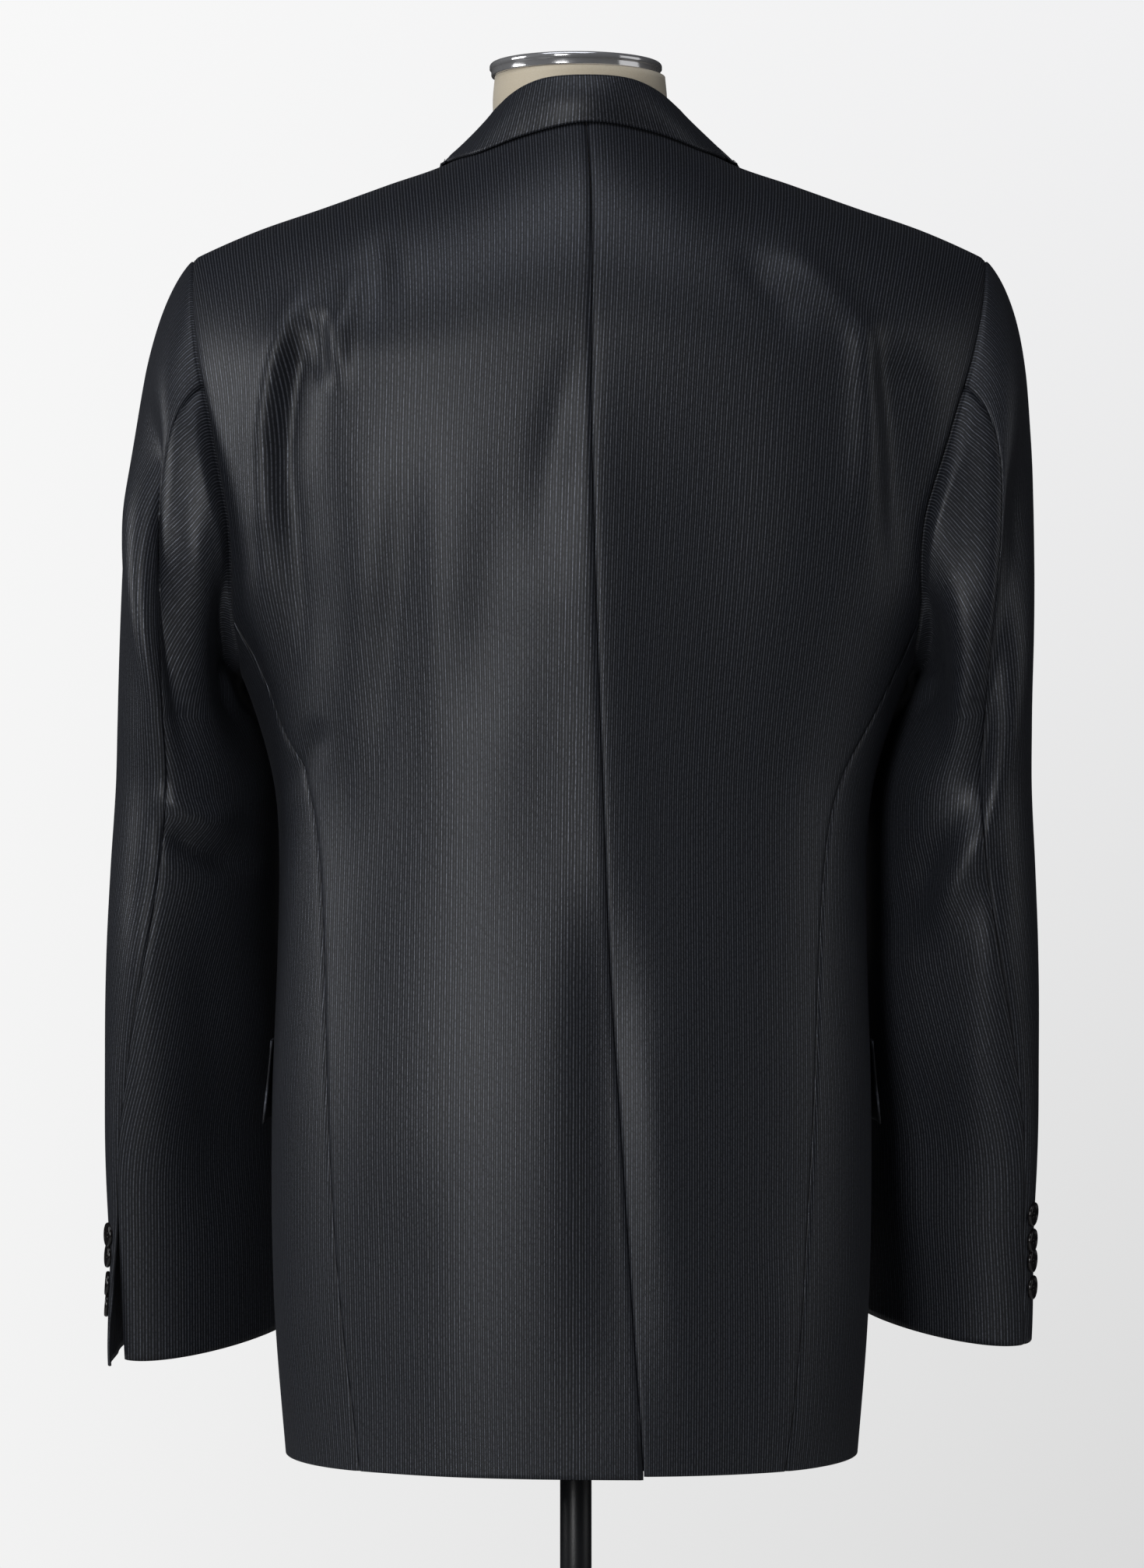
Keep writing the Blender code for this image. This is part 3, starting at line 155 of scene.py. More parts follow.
sleeveForm = {
    # height, centre x, centre y, half thickness, half breadth, turn, tilt, seam twist
    "rings": [
        (0.362, 0.2237, -0.07, 0.032, 0.0735, 40.0, 0.18, 0.0),
        (0.43, 0.2262, -0.06, 0.0345, 0.0755, 38.0, 0.16, 0.0),
        (0.49, 0.23, -0.05, 0.0365, 0.0765, 33.0, 0.14, 0.0),
        (0.55, 0.2298, -0.042, 0.043, 0.079, 26.0, 0.11, 2.0),
        (0.6, 0.2306, -0.036, 0.0445, 0.081, 20.0, 0.08, 6.0),
        (0.65, 0.2291, -0.031, 0.045, 0.082, 17.0, 0.05, 10.0),
        (0.7, 0.2272, -0.025, 0.045, 0.083, 14.0, 0.02, 9.0),
        (0.738, 0.2327, -0.012, 0.04, 0.083, 8.0, 0.0, 4.0),
    ],
    # angle, start way x, y, z, start pull, end pull
    "leave": [
        (0.0, 0.68, 0.0, -0.73, 0.055, 0.11),
        (45.0, 0.62, 0.25, -0.74, 0.06, 0.09),
        (90.0, 0.8, 0.25, -0.55, 0.045, 0.08),
        (135.0, 0.85, 0.15, -0.5, 0.022, 0.035),
        (180.0, 0.75, 0.0, -0.66, 0.01, 0.01),
        (225.0, 0.85, -0.15, -0.5, 0.022, 0.035),
        (270.0, 0.8, -0.25, -0.55, 0.045, 0.08),
        (315.0, 0.62, -0.25, -0.74, 0.06, 0.09),
        (360.0, 0.68, 0.0, -0.73, 0.055, 0.11),
    ],
    # soft folds as on the body, seen from the back, then from the front
    "back": {
        1: [
            (256, 945, 247.5, 850, 220, 690, 6.4, 9.5, -12.8, 0.25, 0.35, 1.7),
            (264, 915, 260, 840, 238, 720, 6.4, 8.5, 5.2, 0.3, 0.4),
            (214, 930, 213, 870, 216, 800, 18, 20, 8, 0.35, 0.45),
            (228, 860, 222, 810, 214, 750, 9, 11, 3, 0.3, 0.4),
            (203, 832, 203, 780, 192, 700, 9.5, 12, -9, 0.3, 0.45),
            (242, 672, 222, 660, 196, 652, 8, 9, -7.5, 0.3, 0.3),
            (246, 692, 228, 683, 204, 678, 8, 9, 5, 0.3, 0.3),
            (262, 640, 258, 560, 252, 470, 12, 14, 2, 0.3, 0.4),
            (224, 640, 216, 560, 214, 420, 18, 22, -6, 0.35, 0.45),
        ],
        -1: [
            (-276, 925, -264, 830, -229, 660, 23, 24, -12.8, 0.3, 0.25, 0.34),
            (-208, 930, -209, 870, -213, 780, 19, 21, 7, 0.35, 0.45),
            (-269, 870, -264, 790, -250, 700, 8, 10, 3, 0.3, 0.5),
            (-203, 825, -206, 780, -203, 700, 9.5, 13, -9, 0.3, 0.45),
            (-224, 822, -227, 775, -219, 715, 7, 8, 3.2, 0.3, 0.4),
            (-238, 690, -228, 650, -208, 612, 11, 12, 6.4, 0.35, 0.4),
            (-216, 668, -206, 640, -198, 600, 11, 13, -6, 0.35, 0.4),
            (-195, 700, -195, 560, -198, 400, 15, 17, 7.4, 0.35, 0.35),
            (-244, 640, -244, 560, -240, 470, 12, 16, 2.4, 0.3, 0.4),
        ],
    },
    "front": {
        1: [
            (250, 900, 256, 840, 252, 760, 11, 14, -5, 0.3, 0.45),
            (200, 690, 225, 672, 255, 665, 10, 12, -5, 0.3, 0.4),
            (205, 640, 228, 628, 252, 625, 10, 12, 4, 0.3, 0.4),
            (205, 600, 230, 585, 250, 580, 10, 12, -3.6, 0.3, 0.4),
        ],
        -1: [
            (-256, 890, -262, 830, -258, 750, 11, 14, -4.8, 0.3, 0.45),
            (-208, 700, -232, 680, -262, 676, 10, 12, -5, 0.3, 0.4),
            (-210, 650, -234, 634, -260, 630, 10, 12, 3.8, 0.3, 0.4),
            (-212, 610, -236, 596, -258, 590, 10, 12, -3.6, 0.3, 0.4),
        ],
    },
    "hind": 90.0,
    "fore": 250.0,
    "slit": 0.1,
    "flare": 0.008,
    "flareColumns": 11.0,
    "flareWay": (0.35, 0.0, -0.3),
    "rightLift": 0.009,
    "rightCuffOut": (0.003, 0.44, 0.08),
    # the wearer's right head is flatter: by how much, height, tall, from this far out, over
    "rightHeadIn": (0.0032, 0.945, 0.045, 0.262, 0.03),
    # middle of the upper arm and its shift to the wearer's right
    "armMiddle": (0.212, -0.005, 0.885),
    "armShift": 0.004,
    # the seam allowance lies this far down and in
    "allowance": (0.006, 0.0052),
    "foldFade": 0.3,
    # how far the cloth sinks into the seams and under the head
    "sinkSeams": 0.0006,
    "sinkColumns": 1.2,
    "sinkHead": 0.0012,
    # points across the top and the under sleeve, and down the head and the arm
    "columns": {"top": 96, "under": 80},
    "headRows": 58,
    "armRows": 92,
    # shares of the head's way for the rows next to its seam, and rows over which the folds grow
    "nearHead": (0.0, 0.006, 0.014),
    "growRows": 8.0,
}

collarForm = {
    # way round, roll line x, y, z, leaf edge x, z on the wearer's left, z on the right
    "stations": [
        (-0.2, -0.028, 0.053, 1.1155, -0.035, 1.0848, 1.0823),
        (0.0, 0.0, 0.059, 1.1175, 0.0, 1.0884, 1.0884),
        (0.2, 0.028, 0.053, 1.1155, 0.035, 1.0823, 1.0848),
        (0.4, 0.049, 0.033, 1.106, 0.0645, 1.0733, 1.0766),
        (0.6, 0.06, 0.0, 1.0925, 0.0885, 1.069, 1.07),
        (0.73, 0.0628, -0.06, 1.0635, 0.105, 1.047, 1.047),
        (0.86, 0.0595, -0.088, 1.032, 0.113, 1.016, 1.016),
        (1.0, 0.0575, -0.1065, 0.999, 0.112, 0.985, 0.985),
    ],
    "lift": 0.0012,
    "fold": 0.0022,
    "neckShare": 0.6,
    # how far the seam lies inside the coat and how far the stand first rises from it
    "sink": 0.001,
    "rise": 0.0018,
    "frontLift": 0.0024,
    "bulge": 0.0024,
    "thick": 0.0017,
    "rows": 90,
    "gorge": (0.99, 0.061),
}


def pick(shape, *keys):
    return [shape[key] for key in keys]


def readTable(table, at, column):
    # smooth reading of a table whose first column rises
    rows = np.asarray(table, dtype=float)
    keys, values = rows[:, 0], rows[:, column]
    before = np.maximum(np.arange(len(keys)) - 1, 0)
    after = np.minimum(np.arange(len(keys)) + 1, len(keys) - 1)
    slopes = (values[after] - values[before]) / (keys[after] - keys[before])
    at = np.clip(np.asarray(at, dtype=float), keys[0], keys[-1])
    low = np.clip(np.searchsorted(keys, at, side="right") - 1, 0, len(keys) - 2)
    step = keys[low + 1] - keys[low]
    part = (at - keys[low]) / step
    square, cube = part ** 2, part ** 3
    return (
        values[low] * (2 * cube - 3 * square + 1)
        + values[low + 1] * (3 * square - 2 * cube)
        + slopes[low] * step * (cube - 2 * square + part)
        + slopes[low + 1] * step * (cube - square)
    )


def ridgeAt(out):
    # height of the shoulder line and its rounding height
    return readTable(torso["ridge"], out, 1), readTable(torso["ridge"], out, 2)


def ease(part):
    part = np.clip(part, 0.0, 1.0)
    return part * part * (3.0 - 2.0 * part)


def toPlace(x, z, facing):
    # angle and run down from the shoulder line of points given from the back or front
    x, z = np.asarray(x, dtype=float), np.asarray(z, dtype=float)
    half = readTable(torso["levels"], z, 1)
    ratio = np.clip(x / half, -1.0, 1.0)
    share = np.sign(ratio) * np.abs(ratio) ** (torso["power"] / 2.0)
    angle = facing * np.arccos(share)
    out = torso["shoulderHalf"] * np.abs(x) / half
    ridge, tall = ridgeAt(out)
    drop = (ridge - z) / tall
    run = np.where(
        drop >= 1.0,
        tall * (math.pi / 2.0 - 1.0) + ridge - z,
        tall * np.arccos(1.0 - np.clip(drop, 0.0, 1.0)),
    )
    return np.stack((angle, run), axis=-1)


def tablePlaces(table, facing):
    # the same for a table of heights and distances from the middle
    return toPlace([row[1] for row in table], [row[0] for row in table], facing)


def ridgePlace(x, facing):
    share = (np.asarray(x, dtype=float) / torso["shoulderHalf"]) ** (torso["power"] / 2.0)
    angle = facing * np.arccos(share)
    return np.stack((angle, np.zeros_like(angle)), axis=-1)


def anglePlace(degrees, z):
    angle = np.radians(np.asarray(degrees, dtype=float))
    share = np.sign(np.cos(angle)) * np.abs(np.cos(angle)) ** (2.0 / torso["power"])
    out = torso["shoulderHalf"] * np.abs(share)
    ridge, tall = ridgeAt(out)
    return np.stack((angle, tall * (math.pi / 2.0 - 1.0) + ridge - z), axis=-1)


def barePoints(place, side):
    angle, run = place[..., 0], place[..., 1]
    power = 2.0 / torso["power"]
    share = np.sign(np.cos(angle)) * np.abs(np.cos(angle)) ** power
    swing = np.abs(np.sin(angle)) ** power
    out = torso["shoulderHalf"] * np.abs(share)
    ridge, tall = ridgeAt(out)
    turn = np.minimum(run / tall, math.pi / 2.0)
    z = ridge - tall * (1.0 - np.cos(turn)) - np.maximum(run - tall * math.pi / 2.0, 0.0)
    blend = np.sin(turn)
    half = readTable(torso["levels"], z, 1)
    backDepth, frontDepth = readTable(torso["levels"], z, 2), readTable(torso["levels"], z, 3)
    depth = np.where(angle >= 0.0, backDepth, -frontDepth)
    y = torso["ridgeY"] * (1.0 - blend) + depth * swing * blend
    x = side * half * share + readTable(torso["lean"], z, 1)
    return np.stack((x, y, z), axis=-1)


def unit(vectors):
    return vectors / np.maximum(np.linalg.norm(vectors, axis=-1, keepdims=True), 1e-12)


def coatNormals(place, side):
    # read over small steps in angle and in run
    aside, below = np.array((0.004, 0.0)), np.array((0.0, 0.001))
    roundWay = barePoints(place + aside, side) - barePoints(place - aside, side)
    downWay = barePoints(place + below, side) - barePoints(place - below, side)
    return unit(np.cross(downWay, roundWay) * side)


def foldHeights(x, z, folds):
    # each fold follows a bent line, wider towards its end
    total = np.zeros(np.broadcast(x, z).shape)
    for *way, fadeIn, fadeOut, skew in [row if len(row) > 11 else (*row, 1.0) for row in folds]:
        x0, z0, x1, z1, x2, z2, half0, half1, height = [value / 1000.0 for value in way]
        length = math.hypot(x2 - x0, z2 - z0)
        wayX, wayZ = (x2 - x0) / length, (z2 - z0) / length
        along = ((x - x0) * wayX + (z - z0) * wayZ) / length
        across = (z - z0) * wayX - (x - x0) * wayZ
        bentAt = ((x1 - x0) * wayX + (z1 - z0) * wayZ) / length
        bend = ((z1 - z0) * wayX - (x1 - x0) * wayZ) / (bentAt * (1.0 - bentAt))
        t = np.clip(along, 0.0, 1.0)
        half = half0 + (half1 - half0) * t
        reach = half / length
        fade = ease((along + reach) / (fadeIn + reach)) * ease((1.0 - along + reach) / (fadeOut + reach))
        offset = across - bend * t * (1.0 - t)
        half = half * np.where(offset < 0.0, skew, 1.0)
        total += height * fade * np.exp(-((offset / half) ** 2))
    return total


def coatPoints(place, side, lift=0.0):
    # the coat's outer face, moved out by lift
    base = barePoints(place, side)
    x, z = base[..., 0], base[..., 2]
    past = np.degrees(place[..., 0]) / torso["foldsWhole"]
    onBack, onFront = ease(past), ease(-past)
    bump = foldHeights(x, z, backFolds) * onBack + foldHeights(x, z, frontFolds) * onFront
    return base + coatNormals(place, side) * np.asarray(lift + bump)[..., None]


overlap = {
    # layers of cloth at the foot, how many more above, from this height on, over this way
    "layers": (1.2, 1.3, 0.59, 0.06),
    # where the overlap ends, over this way
    "end": (0.06, 0.035),
}


def overlapLift(place, side):
    # the wearer's left front lies over the right one
    base = barePoints(place, side)
    if side < 0:
        return np.zeros_like(base[..., 0])
    few, more, start, over = overlap["layers"]
    end, fade = overlap["end"]
    layers = few + more * ease((base[..., 2] - start) / over)
    return cloth["layer"] * layers * ease((end - base[..., 0]) / fade)


def lengthsAlong(points, scale=1.0):
    # way from the first point to each of the points
    steps = np.linalg.norm(np.diff(points, axis=0) * scale, axis=1)
    return np.concatenate(((0.0,), np.cumsum(steps)))


def walk(points, shares):
    # points at shares of the way along a smooth line; places count their angles as metres of girth
    points = np.asarray(points, dtype=float)
    columns = points.shape[1]
    lengths = lengthsAlong(points, np.array((torso["girthPerRadian"], 1.0)) if columns == 2 else 1.0)
    table = np.column_stack((lengths, points))
    at = np.asarray(shares) * lengths[-1]
    return np.column_stack([readTable(table, at, column + 1) for column in range(columns)])


def spread(length, step=cloth["step"]):
    # shares from 0 to 1, closer together at both ends so that a seam can roll over
    shares = np.linspace(0.0, 1.0, max(2, round(length / step)) + 1)
    near = np.array((0.0009, 0.002)) / length
    return np.unique(np.concatenate((shares, near, 1.0 - near)).round(6))


def coons(bottom, top, left, right, across, up):
    # grid of places between four edges; rows run from bottom to top
    s, t = across[None, :, None], up[:, None, None]
    ruled = (1 - t) * bottom[None] + t * top[None] + (1 - s) * left[:, None] + s * right[:, None]
    lower = (1 - s) * (1 - t) * bottom[0] + s * (1 - t) * bottom[-1]
    return ruled - (lower + (1 - s) * t * top[0] + s * t * top[-1])


def seamRoll(across, up, width, height, sides=(1, 1, 1, 1), depth=0.0011, reach=0.0016):
    # how far each point of a panel sinks next to its left, right, bottom and top seam
    left = np.exp(-((across * width / reach) ** 2)) * sides[0]
    right = np.exp(-(((1 - across) * width / reach) ** 2)) * sides[1]
    bottom = np.exp(-((up * height / reach) ** 2)) * sides[2]
    top = np.exp(-(((1 - up) * height / reach) ** 2)) * sides[3]
    return -depth * np.maximum(np.maximum(left, right)[None, :], np.maximum(bottom, top)[:, None])


def drawIn(points):
    # half a seam's gap off each rim
    gap = cloth["seam"] / 2.0
    points[0] += unit(points[1] - points[0]) * gap
    points[-1] += unit(points[-2] - points[-1]) * gap
    points[:, 0] += unit(points[:, 1] - points[:, 0]) * gap
    points[:, -1] += unit(points[:, -2] - points[:, -1]) * gap
    return points


def addPiece(name, mesh, material):
    data = bpy.data.meshes.new(name)
    mesh.to_mesh(data)
    mesh.free()
    data.materials.append(material)
    piece = bpy.data.objects.new(name, data)
    bpy.context.scene.collection.objects.link(piece)
    return piece


def declarePiece(piece, nodes):
    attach(piece, "root")
    if nodes:
        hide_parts(*nodes)


def clothSheet(node, points, threads, inward, thick=cloth["thick"], offset=-1.0):
    # a grid of points becomes a sheet with its own thread map, thickened inward
    rows, columns = points.shape[:2]
    mesh = bmesh.new()
    bmesh.ops.create_grid(mesh, x_segments=columns - 1, y_segments=rows - 1, size=0.5)
    threadMap = mesh.loops.layers.uv.new("threads")
    spots = {}
    for vert in mesh.verts:
        x, y = vert.co.x + 0.5, vert.co.y + 0.5
        spots[vert] = (round(y * (rows - 1)), round(x * (columns - 1)))
    for vert, spot in spots.items():
        vert.co = points[spot]
    for face in mesh.faces:
        face.smooth = True
        for loop in face.loops:
            loop[threadMap].uv = threads[spots[loop.vert]]
    mesh.faces.ensure_lookup_table()
    middle = mesh.faces[len(mesh.faces) // 2]
    middle.normal_update()
    if Vector(inward[spots[middle.verts[0]]]).dot(middle.normal) > 0.0:
        bmesh.ops.reverse_faces(mesh, faces=mesh.faces[:])
    piece = addPiece(node + "_cloth", mesh, suiting)
    wall = piece.modifiers.new("wall", "SOLIDIFY")
    wall.thickness, wall.offset = thick, offset
    wall.use_even_offset = False
    declarePiece(piece, [node])


def girthTable():
    # arc length round the coat from the side, for each run down from the shoulder line
    angles = np.radians(np.linspace(-100.0, 100.0, 401))
    runs = np.linspace(0.0, torso["longestRun"], 96)
    place = np.stack(np.broadcast_arrays(angles[None, :], runs[:, None]), axis=-1)
    steps = np.linalg.norm(np.diff(barePoints(place, 1), axis=1), axis=2)
    lengths = np.concatenate((np.zeros((len(runs), 1)), np.cumsum(steps, axis=1)), axis=1)
    middle = len(angles) // 2
    return angles, runs, lengths - lengths[:, middle:middle + 1]


girth = girthTable()


def girthAt(angle, run):
    angles, runs, lengths = girth
    column = np.interp(angle, angles, np.arange(len(angles)))
    row = np.interp(run, runs, np.arange(len(runs)))
    c0, r0 = np.minimum(column.astype(int), len(angles) - 2), np.minimum(row.astype(int), len(runs) - 2)
    c, r = column - c0, row - r0
    return (
        lengths[r0, c0] * (1 - c) * (1 - r) + lengths[r0, c0 + 1] * c * (1 - r)
        + lengths[r0 + 1, c0] * (1 - c) * r + lengths[r0 + 1, c0 + 1] * c * r
    )


def threadsFrom(place, fromAngle):
    # thread map in metres: across the stripes from one angle, along them down the run
    run = np.clip(place[..., 1], 0.0, torso["longestRun"])
    start = girthAt(np.full_like(run, math.radians(fromAngle)), run)
    return np.stack((girthAt(place[..., 0], run) - start, -place[..., 1]), axis=-1)


def coatSheet(node, grid, side, lift, fromAngle, restsOn=("form_cover",)):
    # a sheet lying on the coat's face; fromAngle is where its stripes are counted from
    points = coatPoints(grid, side, lift)
    # only the panels that lie on the form itself are sewn to each other edge to edge
    if "form_cover" in restsOn:
        points = drawIn(points)
    clothSheet(node, points, threadsFrom(grid, fromAngle), -coatNormals(grid, side))


def linear(hexColour):
    values = [int(hexColour[i:i + 2], 16) / 255.0 for i in (0, 2, 4)]
    return [v / 12.92 if v <= 0.04045 else ((v + 0.055) / 1.055) ** 2.4 for v in values] + [1.0]


def addNode(tree, kind, settings=None, links=None):
    # a node with its settings and its incoming links
    node = tree.nodes.new(kind)
    for key, value in (settings or {}).items():
        if isinstance(key, int) or key in node.inputs.keys():
            node.inputs[key].default_value = value
        else:
            setattr(node, key, value)
    for key, source in (links or {}).items():
        tree.links.new(source, node.inputs[key])
    return node


def newMaterial(name, shaderSettings):
    material = bpy.data.materials.new(name)
    material.use_nodes = True
    tree = material.node_tree
    shader = tree.nodes["Principled BSDF"]
    for key, value in shaderSettings.items():
        shader.inputs[key].default_value = value
    return material, tree, shader


def maths(tree, operation, *values):
    settings, links = {"operation": operation}, {}
    for index, value in enumerate(values):
        (settings if isinstance(value, float) else links)[index] = value
    return addNode(tree, "ShaderNodeMath", settings, links).outputs[0]


def noise(tree, place, scale, detail, turn=0.0, **more):
    # soft random pattern, stretched where it has three scales
    if not isinstance(scale, float):
        settings = {"Rotation": (0.0, 0.0, turn), "Scale": scale}
        place = addNode(tree, "ShaderNodeMapping", settings, {"Vector": place}).outputs[0]
        scale = 1.0
    settings = {"Scale": scale, "Detail": detail, **more}
    return addNode(tree, "ShaderNodeTexNoise", settings, {"Vector": place}).outputs[0]


def mapRange(tree, value, fromMin, fromMax, toMin=0.0, toMax=1.0, kind="LINEAR"):
    return addNode(tree, "ShaderNodeMapRange", {
        "interpolation_type": kind, "From Min": fromMin, "From Max": fromMax,
        "To Min": toMin, "To Max": toMax,
    }, {"Value": value}).outputs[0]


def mixColours(tree, first, second, share):
    # colours are hex words or the outputs of nodes
    settings, links = {"data_type": "RGBA"}, {0: share}
    for index, colour in ((6, first), (7, second)):
        if isinstance(colour, str):
            settings[index] = linear(colour)
        else:
            links[index] = colour
    return addNode(tree, "ShaderNodeMix", settings, links).outputs[2]


def addBump(tree, shader, height, strength, distance):
    bump = addNode(tree, "ShaderNodeBump", {"Strength": strength, "Distance": distance}, {"Height": height})
    tree.links.new(bump.outputs[0], shader.inputs["Normal"])


def cloudedMaterial(name, settings, scale, detail, tones, bump=None):
    # two tones clouding into each other, and a bump for a rough skin
    material, tree, shader = newMaterial(name, settings)
    place = addNode(tree, "ShaderNodeTexCoord").outputs["Object"]
    clouds = noise(tree, place, scale, detail)
    tree.links.new(mixColours(tree, *tones, clouds), shader.inputs["Base Color"])
    if bump:
        addBump(tree, shader, clouds, *bump)
    return material


worsted = {
    "ground": ("1a1b1e", "171a22"),
    "thread": "7d818b",
    "stripePitch": 0.0019,
    # shares of the pitch where a stripe ends and where it is whole
    "stripeEdge": (0.24, 0.04),
    "finerBy": 0.9,
    "threadLength": 0.0016,
    # noise where a thread is down and where it is up, light left when it is down
    "dip": (0.3, 0.62, 0.24),
    "cover": 0.85,
    "lustre": 0.85,
    "drift": (160.0, 9.0, 1.0),
    "grain": (900.0, 420.0, 1.0),
    "grainTurn": 0.6,
    "bump": (0.18, 0.0004),
}


def worstedWool(name):
    # worsted wool, piece dyed, with a light warp end every 1.9 mm: fine broken stripes and a soft gloss
    material, tree, shader = newMaterial(name, {
        "Roughness": 0.47,
        "Specular IOR Level": 0.38,
        "Sheen Weight": 0.03,
        "Sheen Roughness": 0.45,
        "Sheen Tint": linear("c8ccd6"),
    })
    threadMap = addNode(tree, "ShaderNodeUVMap", {"uv_map": "threads"}).outputs[0]
    acrossWarp = addNode(tree, "ShaderNodeSeparateXYZ", {}, {0: threadMap}).outputs[0]
    stripe = maths(tree, "DIVIDE", acrossWarp, worsted["stripePitch"])
    place = maths(tree, "ABSOLUTE", maths(tree, "SUBTRACT", maths(tree, "FRACT", stripe), 0.5))
    line = mapRange(tree, place, *worsted["stripeEdge"], kind="SMOOTHSTEP")
    # every second light end is a finer yarn
    half = maths(tree, "FRACT", maths(tree, "MULTIPLY", maths(tree, "FLOOR", stripe), 0.5))
    finer = maths(tree, "SUBTRACT", 1.0, maths(tree, "MULTIPLY", half, worsted["finerBy"]))
    # single threads dip under the weft every millimetre or so
    lengths = (1.0 / worsted["stripePitch"], 1.0 / worsted["threadLength"], 1.0)
    dip = mapRange(tree, noise(tree, threadMap, lengths, 1.5, Roughness=0.6), *worsted["dip"])
    amount = maths(tree, "MULTIPLY", maths(tree, "MULTIPLY", line, finer), dip)
    # slow drift of shade between lengths of yarn
    ground = mixColours(tree, *worsted["ground"], noise(tree, threadMap, worsted["drift"], 2.0))
    cover = maths(tree, "MULTIPLY", amount, worsted["cover"])
    tree.links.new(mixColours(tree, ground, worsted["thread"], cover), shader.inputs["Base Color"])
    # the light ends are combed yarn with a metal-like lustre, so they carry most of the gloss
    tree.links.new(maths(tree, "MULTIPLY", amount, worsted["lustre"]), shader.inputs["Metallic"])
    # plain weave felt as a fine grain; drawn at 1.1 mm because the real 0.4 mm is under a pixel
    grain = noise(tree, threadMap, worsted["grain"], 2.0, worsted["grainTurn"])
    height = maths(tree, "ADD", maths(tree, "MULTIPLY", grain, 0.5), amount)
    addBump(tree, shader, height, *worsted["bump"])
    return material


suiting = worstedWool("worsted_wool_stripe")
print("cloth finish ready")

hands = {1: "left", -1: "right"}


def hemPlace(degrees, extra=0.0):
    return anglePlace(degrees, readTable(seams["hem"], degrees, 1) - extra)


def hemBetween(left, right, across):
    first, last = np.degrees(left[0, 0]), np.degrees(right[0, 0])
    return hemPlace(first + (last - first) * across)


def seamWalk(table, facing, shares):
    rows = tablePlaces(table, facing)
    rows[0] = hemPlace(np.degrees(rows[0, 0]))
    return walk(rows, shares)


def armholeWalk(table, facing, shares):
    rows = tablePlaces(table, facing)
    rows = np.concatenate((rows, [ridgePlace(seams["shoulderPoint"], facing)]))
    return walk(rows, shares)


def armholeBase(shares):
    start = seamWalk(seams["sideBack"], 1, [1.0])[0]
    end = seamWalk(seams["sideFront"], -1, [1.0])[0]
    middle = [anglePlace(degrees, seams["armholeLow"] + rise) for degrees, rise in seams["armholeBase"]]
    return walk(np.array([start, *middle, end]), shares)


def centreBack(levels, side):
    return toPlace(side * readTable(seams["centreBack"], levels, 1), levels, 1)


def necklinePlaces(shares, side):
    # 0 on the centre-back seam, 1 on the neck point
    start = centreBack(np.array([seams["neckBack"]]), side)[0]
    startX = side * readTable(seams["centreBack"], seams["neckBack"], 1)
    x = startX + (seams["neckPoint"] - startX) * np.sin(np.asarray(shares) * math.pi / 2.0)
    return topPlaces(x, startX, start[1])


def topPlaces(x, startX, startRun):
    # the back's top edge: the neckline as far as the neck point, then the shoulder seam
    ratio = x / torso["shoulderHalf"]
    angle = np.arccos(np.sign(ratio) * np.abs(ratio) ** (torso["power"] / 2.0))
    share = np.clip((x - startX) / (seams["neckPoint"] - startX), 0.0, 1.0)
    return np.stack((angle, startRun * (1.0 - share ** 2)), axis=-1)


def stackedRows(shape, step):
    # rows of a panel with a side seam below and an armhole above
    low, high, share = spread(shape["sideSeam"], step), spread(shape["armhole"], step), shape["lowShare"]
    return low, high, np.concatenate((low * share, share + high[1:] * (1.0 - share)))


backShape = {
    "width": 0.2, "tall": 0.79, "sideSeam": 0.49, "armhole": 0.29, "lowShare": 0.62,
    # share of the height where the neckline begins to bend the rows, and over what share
    "steep": (0.84, 0.16),
}


def backPanel(side):
    drop = seams["leftBackDrop"] if side > 0 else 0.0
    low, high, up = stackedRows(backShape, cloth["fine"])
    across = spread(backShape["width"], cloth["fine"])
    hem, foot, neck = seams["hemLevel"], seams["armholeFoot"], seams["neckBack"]
    left = centreBack(np.concatenate((hem + (foot - hem) * low, foot + (neck - foot) * high[1:])), side)
    left[0] = hemPlace(np.degrees(left[0, 0]), drop)
    armhole = armholeWalk(seams["armholeBack"], 1, high)
    right = np.concatenate((seamWalk(seams["sideBack"], 1, low), armhole[1:]))
    startX = side * readTable(seams["centreBack"], neck, 1)
    top = topPlaces(startX + (seams["shoulderPoint"] - startX) * across, startX, left[-1, 1])
    # the neckline's steep end bends only the rows near it
    plainRun = left[-1, 1] * (1.0 - across) ** 2
    steep = top[:, 1] - plainRun
    top[:, 1] = plainRun
    bottom = hemBetween(left, right, across)
    bottom[:, 1] += drop * (1.0 - across) ** 2
    grid = coons(bottom, top, left, right, across, up)
    start, over = backShape["steep"]
    grid[..., 1] += steep[None, :] * (np.clip((up - start) / over, 0.0, 1.0) ** 2)[:, None]
    roll = seamRoll(across, up, backShape["width"], backShape["tall"], (1, 1, 0, 1))
    coatSheet("back_" + hands[side], grid, side, roll, 90.0)


ventShape = {
    "low": 0.3065, "high": 0.566, "columns": 10, "rows": 60, "start": 0.007, "reach": 0.043,
    # how much narrower the top is, from what share of the height, over what share
    "taper": (0.55, 0.86, 0.14),
}


